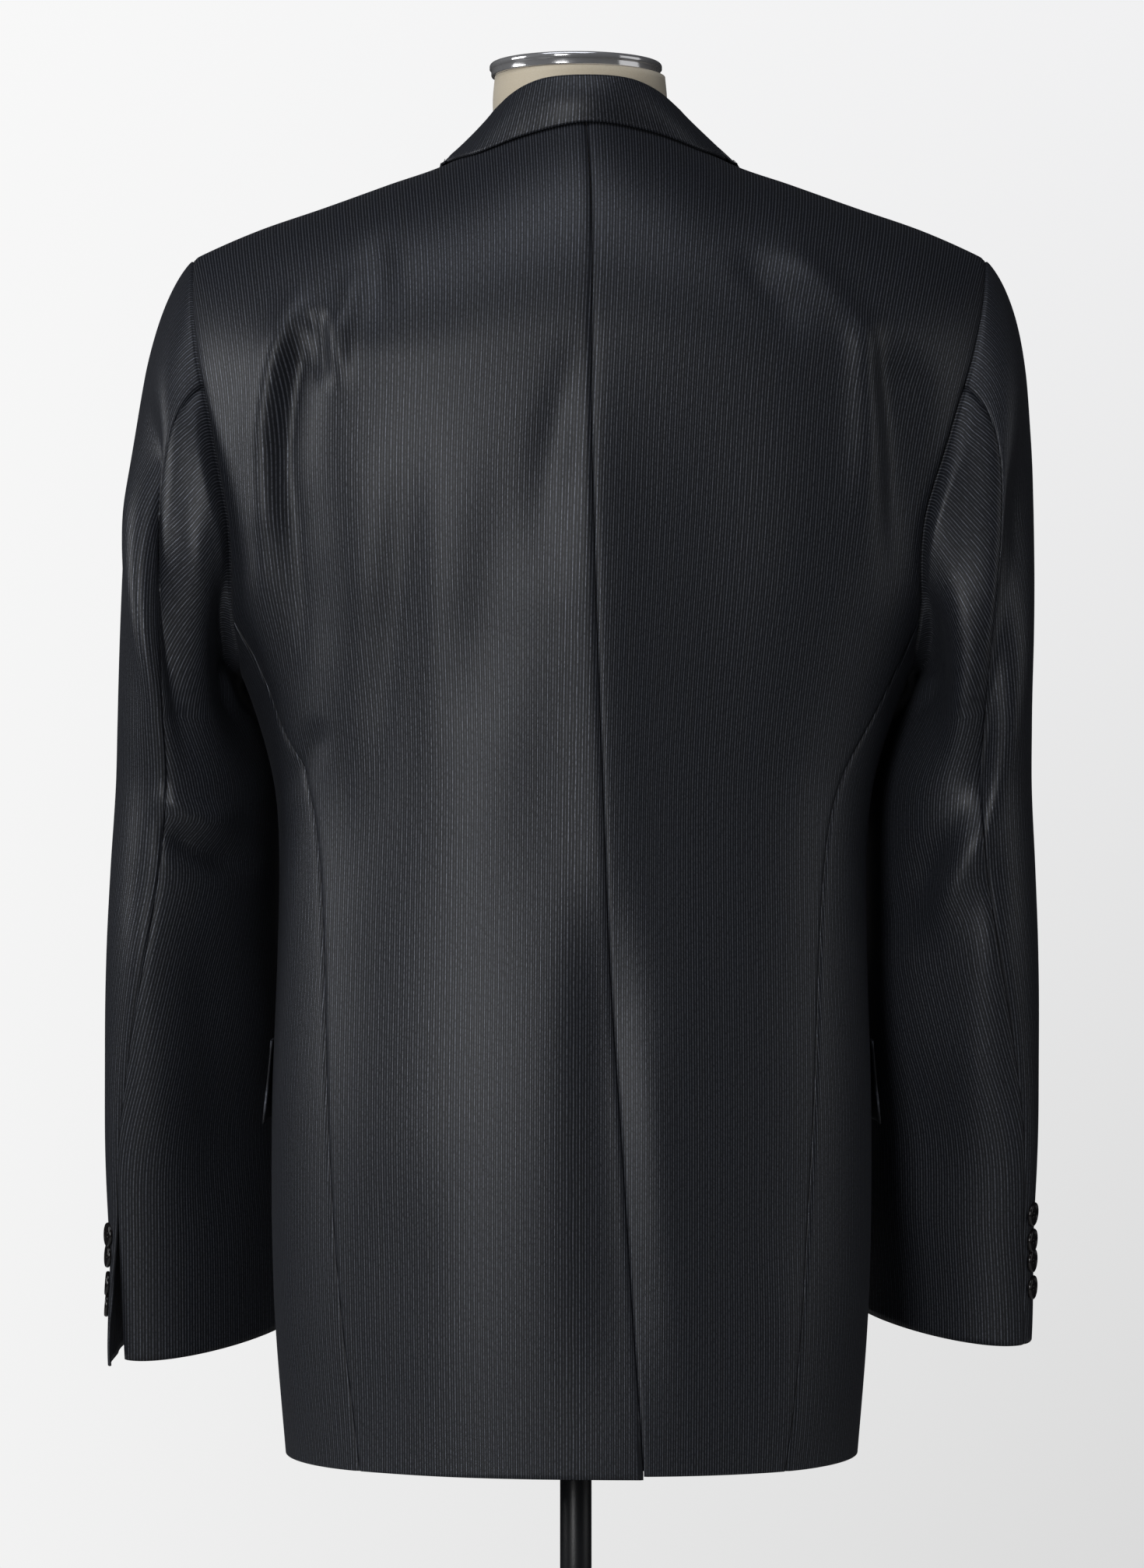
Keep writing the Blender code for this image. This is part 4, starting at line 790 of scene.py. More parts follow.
def ventUnderlap():
    up, across = np.linspace(0.0, 1.0, ventShape["rows"]), np.linspace(0.0, 1.0, ventShape["columns"])
    levels = ventShape["low"] + (ventShape["high"] - ventShape["low"]) * up
    start = readTable(seams["centreBack"], levels, 1) - ventShape["start"]
    taper, first, over = ventShape["taper"]
    reach = ventShape["reach"] * (1.0 - taper * ease((up - first) / over))
    x = start[:, None] + reach[:, None] * across[None, :]
    grid = toPlace(x, np.broadcast_to(levels[:, None], x.shape), 1)
    coatSheet("vent_underlap", grid, 1, -cloth["layer"] - cloth["seam"], 90.0)


sideShape = {"width": 0.17, "tall": 0.5, "stripesFrom": 8.0}


def sidePanel(side):
    up, across = spread(sideShape["tall"]), spread(sideShape["width"])
    left, right = seamWalk(seams["sideBack"], 1, up), seamWalk(seams["sideFront"], -1, up)
    grid = coons(hemBetween(left, right, across), armholeBase(across), left, right, across, up)
    roll = seamRoll(across, up, sideShape["width"], sideShape["tall"], (1, 1, 0, 1))
    coatSheet("side_panel_" + hands[side], grid, side, roll, sideShape["stripesFrom"])


frontShape = {
    "width": 0.21, "tall": 0.79, "sideSeam": 0.5, "armhole": 0.29, "lowShare": 11.0 / 21.0,
    # share of the height below the roll line
    "edgeShare": 8.0 / 21.0,
}


def frontPanel(side):
    low, high, up = stackedRows(frontShape, cloth["step"])
    armhole = armholeWalk(seams["armholeFront"], -1, high)
    right = np.concatenate((seamWalk(seams["sideFront"], -1, low), armhole[1:]))
    rollRows = np.concatenate((tablePlaces(seams["rollLine"], -1), [ridgePlace(seams["neckPoint"], -1)]))
    edgeShare = frontShape["edgeShare"]
    left = np.where(
        (up < edgeShare)[:, None],
        walk(tablePlaces(seams["frontEdge"], -1), np.clip(up / edgeShare, 0.0, 1.0)),
        walk(rollRows, np.clip((up - edgeShare) / (1.0 - edgeShare), 0.0, 1.0)),
    )
    across = spread(frontShape["width"])
    top = ridgePlace(seams["neckPoint"] + (seams["shoulderPoint"] - seams["neckPoint"]) * across, -1)
    bottom = hemBetween(left, right, across)
    bottom[0] = left[0]
    grid = coons(bottom, top, left, right, across, up)
    roll = seamRoll(across, up, frontShape["width"], frontShape["tall"], (0, 1, 0, 1))
    coatSheet("front_" + hands[side], grid, side, overlapLift(grid, side) + roll, -90.0)


lapelShape = {
    "edge": [
        (0.67, -0.011), (0.73, 0.03), (0.8, 0.068), (0.88, 0.102), (0.95, 0.124),
    ],
    "notch": (0.96, 0.098),
    "foot": 0.672,
    # down and out from the collar's gorge
    "underGorge": (0.004, 0.001),
    "rows": 80,
    "columns": 26,
    # how far it swells, from what height, over what way
    "belly": (0.003, 0.75, 0.08),
    "gap": 0.0004,
}


def lapel(side):
    up, across = np.linspace(0.0, 1.0, lapelShape["rows"]), np.linspace(0.0, 1.0, lapelShape["columns"])
    (gorgeZ, gorgeX), (down, out) = collarForm["gorge"], lapelShape["underGorge"]
    gorge = toPlace(gorgeX + out, gorgeZ - down, -1)
    roll = walk(np.concatenate((tablePlaces(seams["rollLine"][:-1], -1), [gorge])), up)
    roll[0] = toPlace(seams["rollLine"][0][1], lapelShape["foot"], -1)
    edge = walk(tablePlaces(lapelShape["edge"], -1), up)
    notch = toPlace(lapelShape["notch"][1], lapelShape["notch"][0], -1)
    top = walk(np.array([roll[-1], notch, edge[-1]]), across)
    bottom = walk(np.array([roll[0], edge[0]]), across)
    grid = coons(bottom, top, roll, edge, across, up)
    heights = barePoints(roll, side)[:, 2]
    swell, start, over = lapelShape["belly"]
    belly = swell * np.sin(math.pi * across)[None, :] * ease((heights - start) / over)[:, None]
    lift = overlapLift(grid, side) + cloth["seam"] * 2.0 + belly + cloth["thick"] + lapelShape["gap"]
    coatSheet("lapel_" + hands[side], grid, side, lift, -90.0, ["front_" + hands[side] + "_cloth"])


def neckSeam(shares, side):
    neckShare = collarForm["neckShare"]
    back = necklinePlaces(np.clip(shares / neckShare, 0.0, 1.0), side)
    corners = tablePlaces([seams["rollLine"][-1], collarForm["gorge"]], -1)
    line = np.array([ridgePlace(seams["neckPoint"], -1), *corners])
    front = walk(line, np.clip((shares - neckShare) / (1.0 - neckShare), 0.0, 1.0))
    place = np.where((shares <= neckShare)[:, None], back, front)
    return coatPoints(place, side, -collarForm["sink"])


def collarHalf(side, shares):
    # folded strip: rows are stations round the neck, columns run from the seam over the fold to the edge
    seam = neckSeam(shares, side)
    columns = [readTable(collarForm["stations"], shares, column) for column in range(1, 7)]
    roll = np.column_stack(columns[:3])
    roll[:, 0] = side * roll[:, 0] + readTable(torso["lean"], roll[:, 2], 1)
    edgeX, edgeZ = columns[3], columns[4 if side > 0 else 5]
    onBack = shares <= collarForm["neckShare"]
    place = np.where(onBack[:, None], toPlace(edgeX, edgeZ, 1), toPlace(edgeX, edgeZ, -1))
    overFront = overlapLift(place, side) + collarForm["frontLift"]
    edge = coatPoints(place, side, collarForm["lift"] + np.where(onBack, 0.0, overFront))
    tip = unit(unit(roll - seam) + unit(roll - edge))
    out = edge - seam
    out = unit(out - tip * np.sum(out * tip, axis=1, keepdims=True))
    start = seam + unit(roll - seam) * collarForm["rise"]
    fold = collarForm["fold"]
    before, after = roll - (out + tip) * fold, roll + (out - tip) * fold
    parts = [start]
    for t in (0.25, 0.5, 0.75):
        parts.append(start * (1 - t) + before * t)
    for degrees in range(180, -1, -30):
        c, s = math.cos(math.radians(degrees)), math.sin(math.radians(degrees))
        parts.append(roll - tip * fold + out * fold * c + tip * fold * 0.75 * s)
    for t in np.linspace(0.06, 1.0, 17):
        bulge = collarForm["bulge"] * math.sin(math.pi * min(t * 1.05, 1.0)) * (1.0 - 0.25 * t)
        parts.append(after * (1 - t) + edge * t + out * bulge)
    return np.stack(parts, axis=1), out


def collar():
    last = collarForm["rows"] - 1
    shares = np.linspace(0.0, 1.0, last + 1)
    left, leftOut = collarHalf(1, shares)
    right, rightOut = collarHalf(-1, shares)
    points = np.concatenate((right[::-1][:-1], left))
    across, along = lengthsAlong(points[last]), lengthsAlong(points[:, -8])
    along -= along[last]
    threads = np.stack(np.broadcast_arrays(along[:, None], across[None, :]), axis=-1)
    inward = np.zeros_like(points)
    inward[:, :] = -np.concatenate((rightOut[::-1][:-1], leftOut))[:, None]
    clothSheet("collar", points, threads, inward, collarForm["thick"], 0.0)
    return points


stitchShape = {
    "pitch": 0.0042, "length": 0.0011, "width": 0.00034, "inset": 0.0022, "margin": 0.004,
    # height of the thread's middle over the sheet's middle, and how far it swells
    "height": (0.00085, 0.00028),
}


def collarStitches(points):
    # hand-picked edge stitches: one small bead of thread every few millimetres along the leaf edge
    edge = points[:, -1]
    inner = unit(points[:, -2] - edge)
    spots = edge + inner * stitchShape["inset"]
    lengths = lengthsAlong(spots)
    ways = unit(np.gradient(spots, axis=0))
    outward = unit(np.cross(inner, ways))
    outward *= np.sign(np.sum(outward * (spots - np.array((0.0, 0.0, 1.0))), axis=1, keepdims=True))
    middle, swell = stitchShape["height"]
    margin = stitchShape["margin"]
    mesh = bmesh.new()
    for at in np.arange(margin, lengths[-1] - margin, stitchShape["pitch"]):
        row = int(np.searchsorted(lengths, at))
        made = bmesh.ops.create_uvsphere(mesh, u_segments=6, v_segments=4, radius=1.0)
        for vert in made["verts"]:
            x, y, height = vert.co
            vert.co = Vector(
                spots[row] + ways[row] * (at - lengths[row]) + outward[row] * (middle + swell * height)
                + ways[row] * stitchShape["length"] * x + inner[row] * stitchShape["width"] * y
            )
    # twisted silk sewing thread, a shade lighter than the cloth, softly shiny
    silk = cloudedMaterial("silk_thread_black", {"Roughness": 0.42}, 1500.0, 1.0, ("26272b", "43454b"))
    finishPiece("collar_pick_stitches", mesh, silk, [])


armholeSteps = {
    # steps along back, base and low front
    "under": (5.0, 6.0, 3.0),
    # steps along front and back
    "top": (7.0, 5.0),
    # shares of the armhole's back and front edges where the sleeve seams meet it, share for each step
    "backSeam": 0.5,
    "frontSeam": 0.3,
    "share": 0.1,
}


def armLoop(kind, count):
    # places on the armhole edge and their angles for the top or the under sleeve
    share, backSeam, frontSeam = pick(armholeSteps, "share", "backSeam", "frontSeam")
    hind, fore = sleeveForm["hind"], sleeveForm["fore"]
    steps = np.linspace(0.0, sum(armholeSteps[kind]), count)
    if kind == "under":
        first, second, third = armholeSteps[kind]
        back = armholeWalk(seams["armholeBack"], 1, 1.0 - np.clip(backSeam + steps * share, backSeam, 1.0))
        base = armholeBase(np.clip((steps - first) / second, 0.0, 1.0))
        past = np.clip((steps - first - second) * share, 0.0, frontSeam)
        front = armholeWalk(seams["armholeFront"], -1, past)
        ahead = np.where((steps < first + second)[:, None], base, front)
        place = np.where((steps < first)[:, None], back, ahead)
        return place, hind + (fore - hind) * steps / (first + second + third)
    first, second = armholeSteps[kind]
    front = armholeWalk(seams["armholeFront"], -1, np.clip(frontSeam + steps * share, frontSeam, 1.0))
    back = armholeWalk(seams["armholeBack"], 1, 1.0 - np.clip((steps - first) * share, 0.0, backSeam))
    place = np.where((steps < first)[:, None], front, back)
    angle = np.where(
        steps < first, fore + (360.0 - fore) * steps / first, 360.0 + hind * (steps - first) / second,
    )
    return place, angle


def sleeveRing(z, angle, side):
    rings = sleeveForm["rings"]
    centreX, centreY, thin, broad, turn, tilt, twist = [readTable(rings, z, c) for c in range(1, 8)]
    lift = 0.0 if side > 0 else sleeveForm["rightLift"] * ease((0.7 - z) / 0.3)
    turn, theta = np.radians(turn), np.radians(angle + twist)
    localX = thin * np.cos(theta) * np.cos(turn) + broad * np.sin(theta) * np.sin(turn)
    localY = -thin * np.cos(theta) * np.sin(turn) + broad * np.sin(theta) * np.cos(turn)
    far, start, over = sleeveForm["rightCuffOut"]
    out = 0.0 if side > 0 else far * ease((start - z) / over)
    x = side * (centreX + localX + out) + readTable(torso["lean"], z, 1)
    return np.stack(np.broadcast_arrays(x, centreY + localY, z + lift - tilt * localY), axis=-1)


def sleeveGrid(kind, side):
    place, angle = armLoop(kind, sleeveForm["columns"][kind])
    start, normal = coatPoints(place, side), coatNormals(place, side)
    away = unit(np.cross(unit(np.gradient(start, axis=0)), normal))
    middleX, middleY, middleZ = sleeveForm["armMiddle"]
    centre = np.array((side * middleX - sleeveForm["armShift"], middleY, middleZ))
    away = away * np.sign(np.sum(away * (centre - start), axis=1, keepdims=True))
    start = start + away * cloth["seam"]
    columns = [readTable(sleeveForm["leave"], angle % 360.0, column) for column in range(1, 6)]
    leave = np.column_stack(columns[:3])
    leave[:, 0] *= side
    leave = unit(leave)
    pullStart, pullEnd = columns[3][:, None], columns[4][:, None]
    topRing, cuff = sleeveForm["rings"][-1][0], sleeveForm["rings"][0][0]
    end = sleeveRing(np.full_like(angle, topRing), angle, side)
    arrive = unit(sleeveRing(np.full_like(angle, topRing - 0.01), angle, side) - end)
    # the seam allowance lies inside the coat
    down, inside = sleeveForm["allowance"]
    rows = [start - away * down - normal * inside]
    headRows, armRows, growRows = pick(sleeveForm, "headRows", "armRows", "growRows")
    for t in np.concatenate((sleeveForm["nearHead"], np.linspace(0.03, 1.0, headRows)[:-1])):
        rows.append(
            start * (1 - t) ** 3 + (start + leave * pullStart) * 3 * t * (1 - t) ** 2
            + (end - arrive * pullEnd) * 3 * t * t * (1 - t) + end * t ** 3
        )
    for z in np.linspace(topRing, cuff, armRows):
        rows.append(sleeveRing(np.full_like(angle, z), angle, side))
    base = np.array(rows)
    downWay, roundWay = np.gradient(base, axis=0), np.gradient(base, axis=1)
    normals = unit(np.cross(roundWay, downWay) * -side)
    grow = ease((np.arange(len(rows)) - 1.0) / growRows)[:, None]
    x, z = base[..., 0], base[..., 2]
    fade = sleeveForm["foldFade"]
    bump = foldHeights(x, z, sleeveForm["back"][side]) * ease(normals[..., 1] / fade)
    bump += foldHeights(x, z, sleeveForm["front"][side]) * ease(-normals[..., 1] / fade)
    points = base + normals * (bump * grow)[..., None]
    if side < 0:
        flatter, height, tall, outer, over = sleeveForm["rightHeadIn"]
        flat = np.exp(-(((z - height) / tall) ** 2)) * ease((-outer - x) / over)
        points[..., 0] += flatter * flat
    return points, normals


def sleevePiece(kind, side):
    points, normals = sleeveGrid(kind, side)
    columns = sleeveForm["columns"][kind]
    if kind == "top" and side > 0:
        # the slit's edge stands away from the arm
        part = ease(1.0 - (points[:, -1, 2] - points[-1, -1, 2]) / sleeveForm["slit"])
        share = ease(1.0 - np.linspace(columns - 1, 0, columns) / sleeveForm["flareColumns"])
        away = normals[:, -1] + np.array(sleeveForm["flareWay"])
        points += away[:, None] * (sleeveForm["flare"] * part[:, None] * share[None, :])[..., None]
    widths = np.linalg.norm(np.diff(points, axis=1), axis=2)
    across = np.concatenate((np.zeros((len(points), 1)), np.cumsum(widths, axis=1)), axis=1)
    middle = columns // 2
    across = across - across[:, middle:middle + 1]
    threads = np.stack(np.broadcast_arrays(across, -lengthsAlong(points[:, middle])[:, None]), axis=-1)
    near = np.minimum(np.arange(columns), np.arange(columns)[::-1])
    atSeams = sleeveForm["sinkSeams"] * np.exp(-((near / sleeveForm["sinkColumns"]) ** 2))[None, :]
    atHead = sleeveForm["sinkHead"] * np.exp(-np.abs(np.arange(len(points)) - 1.0))[:, None]
    points = drawIn(points - normals * (atSeams + atHead)[..., None])
    clothSheet(kind + "_sleeve_" + hands[side], points, threads, -normals)
    return points, normals


flapShape = {
    "rows": 22, "columns": 60, "angles": (4.0, -50.0), "heights": (0.4965, 0.546),
    # lift of the whole flap, more at its lower edge, gap under it
    "lift": 0.0006, "stand": 0.0035, "gap": 0.0004,
}


def pocketFlap(side):
    rows, columns = flapShape["rows"], flapShape["columns"]
    up, across = np.linspace(0.0, 1.0, rows), np.linspace(0.0, 1.0, columns)
    (start, end), (low, high) = flapShape["angles"], flapShape["heights"]
    degrees = start + (end - start) * across[None, :] + np.zeros((rows, 1))
    grid = anglePlace(degrees, low + (high - low) * up[:, None] + np.zeros((1, columns)))
    lift = flapShape["lift"] + flapShape["stand"] * (1.0 - up) ** 1.5 + cloth["thick"] + flapShape["gap"]
    restsOn = ["front_" + hands[side] + "_cloth", "side_panel_" + hands[side] + "_cloth"]
    coatSheet("pocket_flap_" + hands[side], grid, side, lift[:, None], -90.0, restsOn)


weltShape = {
    "rows": 10, "columns": 28,
    # lower inner corner, width, slant and height
    "corner": (0.105, 0.858), "width": 0.061, "slant": 0.012, "tall": 0.023,
    "lift": 0.0006, "gap": 0.0003,
}


def breastWelt():
    up, across = np.linspace(0.0, 1.0, weltShape["rows"]), np.linspace(0.0, 1.0, weltShape["columns"])
    x = weltShape["corner"][0] + weltShape["width"] * across[None, :] + np.zeros((weltShape["rows"], 1))
    z = weltShape["corner"][1] + weltShape["slant"] * across[None, :] + weltShape["tall"] * up[:, None]
    lift = weltShape["lift"] + cloth["thick"] + weltShape["gap"]
    coatSheet("breast_welt", toPlace(x, z, -1), 1, lift, -90.0, ["front_left_cloth"])


for side in (1, -1):
    backPanel(side)
    sidePanel(side)
    frontPanel(side)
    lapel(side)
    pocketFlap(side)
ventUnderlap()
breastWelt()
collarPoints = collar()
print("body of the coat ready")
sleeveParts = {(kind, side): sleevePiece(kind, side) for side in (1, -1) for kind in ("top", "under")}
print("sleeves ready")

formShape = {
    # height, half width, back depth, front depth
    "levels": [
        (0.352, 0.128, 0.098, 0.102), (0.362, 0.142, 0.11, 0.114), (0.4, 0.15, 0.116, 0.122),
        (0.5, 0.158, 0.119, 0.127), (0.6, 0.15, 0.106, 0.118), (0.68, 0.152, 0.104, 0.116),
        (0.76, 0.168, 0.11, 0.12), (0.84, 0.184, 0.116, 0.119), (0.92, 0.196, 0.118, 0.108),
        (1.0, 0.202, 0.116, 0.095), (1.12, 0.202, 0.11, 0.086),
    ],
    "neck": [
        (1.04, 0.06), (1.062, 0.057), (1.08, 0.0535), (1.098, 0.0522), (1.112, 0.0526), (1.1257, 0.0514),
    ],
    "neckShift": -0.0025,
    "drop": 0.0037,
    "dropAtNeck": 0.007,
    # the neck's drop ends this far out, over this way
    "neckReach": (0.125, 0.045),
    "columns": 120,
    # the form's shift runs into the neck's above this height, over this way
    "shiftFade": (1.068, 0.025),
    # power that joins shoulders and neck with a small radius
    "join": 24,
    "bottom": 0.352,
    "top": 1.1257,
}


def insideForm(x, y, z):
    levels, ridgeY = formShape["levels"], torso["ridgeY"]
    half = readTable(levels, z, 1)
    facing = np.where(y >= ridgeY, 1.0, -1.0)
    depth = np.where(y >= ridgeY, readTable(levels, z, 2), readTable(levels, z, 3)) * facing
    ratio = np.minimum(np.abs(x) / half, 1.0)
    swing = (1.0 - ratio ** torso["power"]) ** (1.0 / torso["power"])
    neckOut, neckOver = formShape["neckReach"]
    neckDrop = formShape["dropAtNeck"] * ease((neckOut - np.abs(x)) / neckOver)
    ridge = readTable(torso["ridge"], np.abs(x), 1) - formShape["drop"] - neckDrop
    tall = readTable(torso["ridge"], np.abs(x), 2)
    drop = (ridge - z) / tall
    blend = np.sqrt(np.clip(1.0 - (1.0 - np.clip(drop, 0.0, 1.0)) ** 2, 0.0, 1.0))
    limit = ridgeY * (1.0 - blend) + depth * swing * blend
    return (drop > 0.0) & (np.abs(x) < half) & ((y - limit) * facing < 0.0)


def addRings(mesh, rings):
    # a closed stack of rings, capped at both ends
    loops = [[mesh.verts.new(spot) for spot in ring] for ring in rings]
    for lower, upper in zip(loops, loops[1:]):
        edges = []
        for loop in (lower, upper):
            for first, second in zip(loop, loop[1:] + loop[:1]):
                edges.append(mesh.edges.get((first, second)) or mesh.edges.new((first, second)))
        bmesh.ops.bridge_loops(mesh, edges=edges)
    mesh.faces.new(loops[0])
    mesh.faces.new(loops[-1])
    bmesh.ops.recalc_face_normals(mesh, faces=mesh.faces[:])


def finishPiece(name, mesh, material, nodes):
    # flat ends keep their edge, the rest is shaded smooth
    for face in mesh.faces:
        face.smooth = len(face.verts) < 8
    declarePiece(addPiece(name, mesh, material), nodes)


def canvasCover(name):
    # unbleached linen canvas stretched over the form: beige, slubby, matt
    settings = {"Roughness": 0.88, "Sheen Weight": 0.4, "Sheen Roughness": 0.5}
    material, tree, shader = newMaterial(name, settings)
    place = addNode(tree, "ShaderNodeTexCoord").outputs["Object"]
    slubs = noise(tree, place, (900.0, 900.0, 1600.0), 3.0)
    stains = maths(tree, "MULTIPLY", noise(tree, place, 22.0, 3.0), 0.35)
    worn = mixColours(tree, mixColours(tree, "e8dabd", "faf1dd", slubs), "c4ab84", stains)
    tree.links.new(worn, shader.inputs["Base Color"])
    addBump(tree, shader, slubs, 0.35, 0.0005)
    return material


def formCover():
    columns, ridgeY, join = formShape["columns"], torso["ridgeY"], formShape["join"]
    angles = np.linspace(0.0, 2.0 * math.pi, columns + 1)[:-1]
    levels = np.concatenate((
        (0.352, 0.3535, 0.356, 0.36), np.linspace(0.366, 0.97, 62), np.linspace(0.975, formShape["top"], 48),
    ))
    fadeFrom, fadeOver = formShape["shiftFade"]
    rings = []
    for z in levels:
        # halving finds how far the form reaches in each direction
        low, high = np.zeros(columns), np.full(columns, 0.3)
        for _ in range(24):
            middle = (low + high) / 2.0
            inside = insideForm(np.cos(angles) * middle, ridgeY + np.sin(angles) * middle, z)
            low, high = np.where(inside, middle, low), np.where(inside, high, middle)
        neck = float(readTable(formShape["neck"], z, 1)) if z > formShape["neck"][0][0] else 0.0
        reach = (low ** join + neck ** join) ** (1.0 / join)
        fade = 1.0 - float(ease((z - fadeFrom) / fadeOver))
        shift = float(readTable(torso["lean"], z, 1)) * fade + formShape["neckShift"] * (1.0 - fade)
        x, y = shift + reach * np.cos(angles), ridgeY + reach * np.sin(angles)
        rings.append(np.column_stack((x, y, np.full(columns, z))))
    mesh = bmesh.new()
    addRings(mesh, rings)
    finishPiece("form_cover", mesh, canvasCover("linen_canvas_stretched"), ["form_torso"])


def turnedMesh(profile, centre, segments):
    # a profile of radius and height turned round an upright axis
    mesh = bmesh.new()
    verts = [mesh.verts.new((centre[0] + radius, centre[1], z)) for radius, z in profile]
    edges = [mesh.edges.new(pair) for pair in zip(verts, verts[1:])]
    bmesh.ops.spin(
        mesh, geom=verts + edges, cent=(*centre, 0.0), axis=(0, 0, 1), angle=2.0 * math.pi, steps=segments,
        use_merge=True,
    )
    bmesh.ops.remove_doubles(mesh, verts=mesh.verts[:], dist=0.00001)
    bmesh.ops.recalc_face_normals(mesh, faces=mesh.faces[:])
    return mesh


def polishedChrome(name):
    # chrome plate on a spun steel cap, polished, with faint handling marks
    # metallic below one mixes in a matt pale grey: a painted reflection of pale walls, because the dark
    # surround leaves true chrome dark; the rest is real mirror gloss
    settings = {"Base Color": linear("ececee"), "Metallic": 0.72, "Roughness": 0.12}
    material, tree, shader = newMaterial(name, settings)
    place = addNode(tree, "ShaderNodeTexCoord").outputs["Object"]
    rough = mapRange(tree, noise(tree, place, 90.0, 4.0), 0.3, 0.75, 0.06, 0.22)
    tree.links.new(rough, shader.inputs["Roughness"])
    return material


capShape = {"radius": 0.052, "bottom": 1.126, "top": 1.1338, "edge": 0.0018, "segments": 96}


def neckCap():
    r, low, high, edge = pick(capShape, "radius", "bottom", "top", "edge")
    profile = [(0.0, low), (r - edge, low), (r - 0.0012, low + 0.0003), (r - 0.001, low + 0.0008)]
    profile += [(r - 0.001, high - 0.0044), (r - 0.0007, high - 0.0039), (r, high - 0.0034)]
    for degrees in range(0, 91, 18):
        c, s = math.cos(math.radians(degrees)), math.sin(math.radians(degrees))
        profile.append((r - edge + edge * c, high - edge + edge * s))
    profile += [(r - 0.004, high - 0.0002), (r - 0.005, high - 0.0006), (0.0, high - 0.0007)]
    mesh = turnedMesh(profile, (0.0, torso["ridgeY"]), capShape["segments"])
    finishPiece("neck_cap_chrome", mesh, polishedChrome("chrome_plate_polished"), ["neck_cap"])


standShape = {
    "poleRadius": 0.0095, "baseRadius": 0.15, "baseThick": 0.01, "socketTop": 0.034, "gap": 0.0003,
}


def stand():
    # black powder coat on steel tube: a fine orange-peel skin, satin
    settings = {"Roughness": 0.36, "Specular IOR Level": 0.5}
    paint = cloudedMaterial("powder_coat_black", settings, 700.0, 2.0, ("17181b", "202226"), (0.25, 0.0003))
    r, radius, thick, top, gap = pick(standShape, "poleRadius", "baseRadius", "baseThick", "socketTop", "gap")
    low, high, foot = top + gap, formShape["bottom"] - gap, thick + gap
    parts = {
        ("pole_tube", "pole", 64): [
            (0.0, low), (r - 0.0006, low), (r, low + 0.0006),
            (r, high - 0.0006), (r - 0.0006, high), (0.0, high),
        ],
        ("base_plate", "base", 128): [
            (0.0, 0.0), (radius - 0.0015, 0.0), (radius - 0.0004, 0.0004), (radius, 0.0015),
            (radius, thick - 0.003), (radius - 0.0009, thick - 0.0009), (radius - 0.003, thick),
            (0.0, thick),
        ],
        ("pole_collar", "pole_socket", 96): [
            (0.0, foot), (0.0237, foot), (0.024, foot + 0.0004), (0.024, thick + 0.002),
            (0.0203, top - 0.003), (0.0199, top - 0.0016), (0.019, top - 0.0004), (0.018, top), (0.0, top),
        ],
    }
    for (name, node, segments), profile in parts.items():
        finishPiece(name, turnedMesh(profile, (0.0, 0.0), segments), paint, [node])


formCover()
neckCap()
stand()
collarStitches(collarPoints)
print("dress form ready")

buttonShape = {
    # radius and thickness
    "front": (0.01, 0.0036),
    "cuff": (0.0074, 0.003),
    "frontHeights": {"upper": 0.655, "lower": 0.55},
    "pitch": 0.0158,
    "first": 0.032,
    # from the sleeve's edge to the button's middle, by side
    "inset": {1: 0.0098, -1: 0.0082},
    "lift": {"front": 0.0003, "cuff": 0.0012},
    # shares of radius and thickness
    "profile": [
        (0.0, 0.0), (0.82, 0.0), (0.97, 0.28), (1.0, 0.5), (0.985, 0.78), (0.93, 0.95), (0.87, 1.0),
        (0.78, 0.93), (0.67, 0.74), (0.5, 0.68), (0.0, 0.66),
    ],
}

# polished horn-look polyester: near black with dark brown clouds
buttonStuff = cloudedMaterial("polyester_button_polished", {
    "Roughness": 0.24, "Specular IOR Level": 0.5, "Coat Weight": 0.3, "Coat Roughness": 0.15,
}, 260.0, 2.0, ("0e0e10", "211d1c"))


def button(node, centre, axis, kind):
    radius, thick = buttonShape[kind]
    mesh = turnedMesh([(radius * r, thick * h) for r, h in buttonShape["profile"]], (0.0, 0.0), 36)
    # two short bars of sewing thread over the middle
    for offset in (-0.14, 0.14):
        made = bmesh.ops.create_uvsphere(mesh, u_segments=8, v_segments=6, radius=radius * 0.11)
        bmesh.ops.scale(mesh, vec=(2.2, 0.8, 0.7), verts=made["verts"])
        bmesh.ops.translate(mesh, vec=(0.0, radius * offset, thick * 0.74), verts=made["verts"])
    axis = Vector(axis).normalized()
    helper = Vector((0, 0, 1)) if abs(axis.z) < 0.9 else Vector((1, 0, 0))
    across = helper.cross(axis).normalized()
    other = axis.cross(across)
    for vert in mesh.verts:
        x, y, z = vert.co
        vert.co = Vector(centre) + across * x + other * y + axis * z
    finishPiece(node + "_polished", mesh, buttonStuff, [node])


for word, z in buttonShape["frontHeights"].items():
    place = toPlace(0.0, z, -1)
    centre = coatPoints(place, 1, overlapLift(place, 1) + buttonShape["lift"]["front"])
    button("front_button_" + word, centre, coatNormals(place, 1), "front")

for side in (1, -1):
    points, normals = sleeveParts["top", side]
    # the sleeve's hind edge, and a line of the cloth further in
    near, far = points[:, -1], points[:, -14]
    for number in range(4):
        height = near[-1, 2] + buttonShape["first"] + buttonShape["pitch"] * number
        row = int(np.argmin(np.abs(near[:, 2] - height)))
        inward = unit(far[row] - near[row])
        axis = unit(np.cross(inward, unit(near[row + 1] - near[row - 1])))
        if np.dot(axis, normals[row, -3]) < 0.0:
            axis = -axis
        centre = near[row] + inward * buttonShape["inset"][side] + axis * buttonShape["lift"]["cuff"]
        button(f"cuff_button_{hands[side]}_{number + 1}", centre, axis, "cuff")
print("buttons ready")

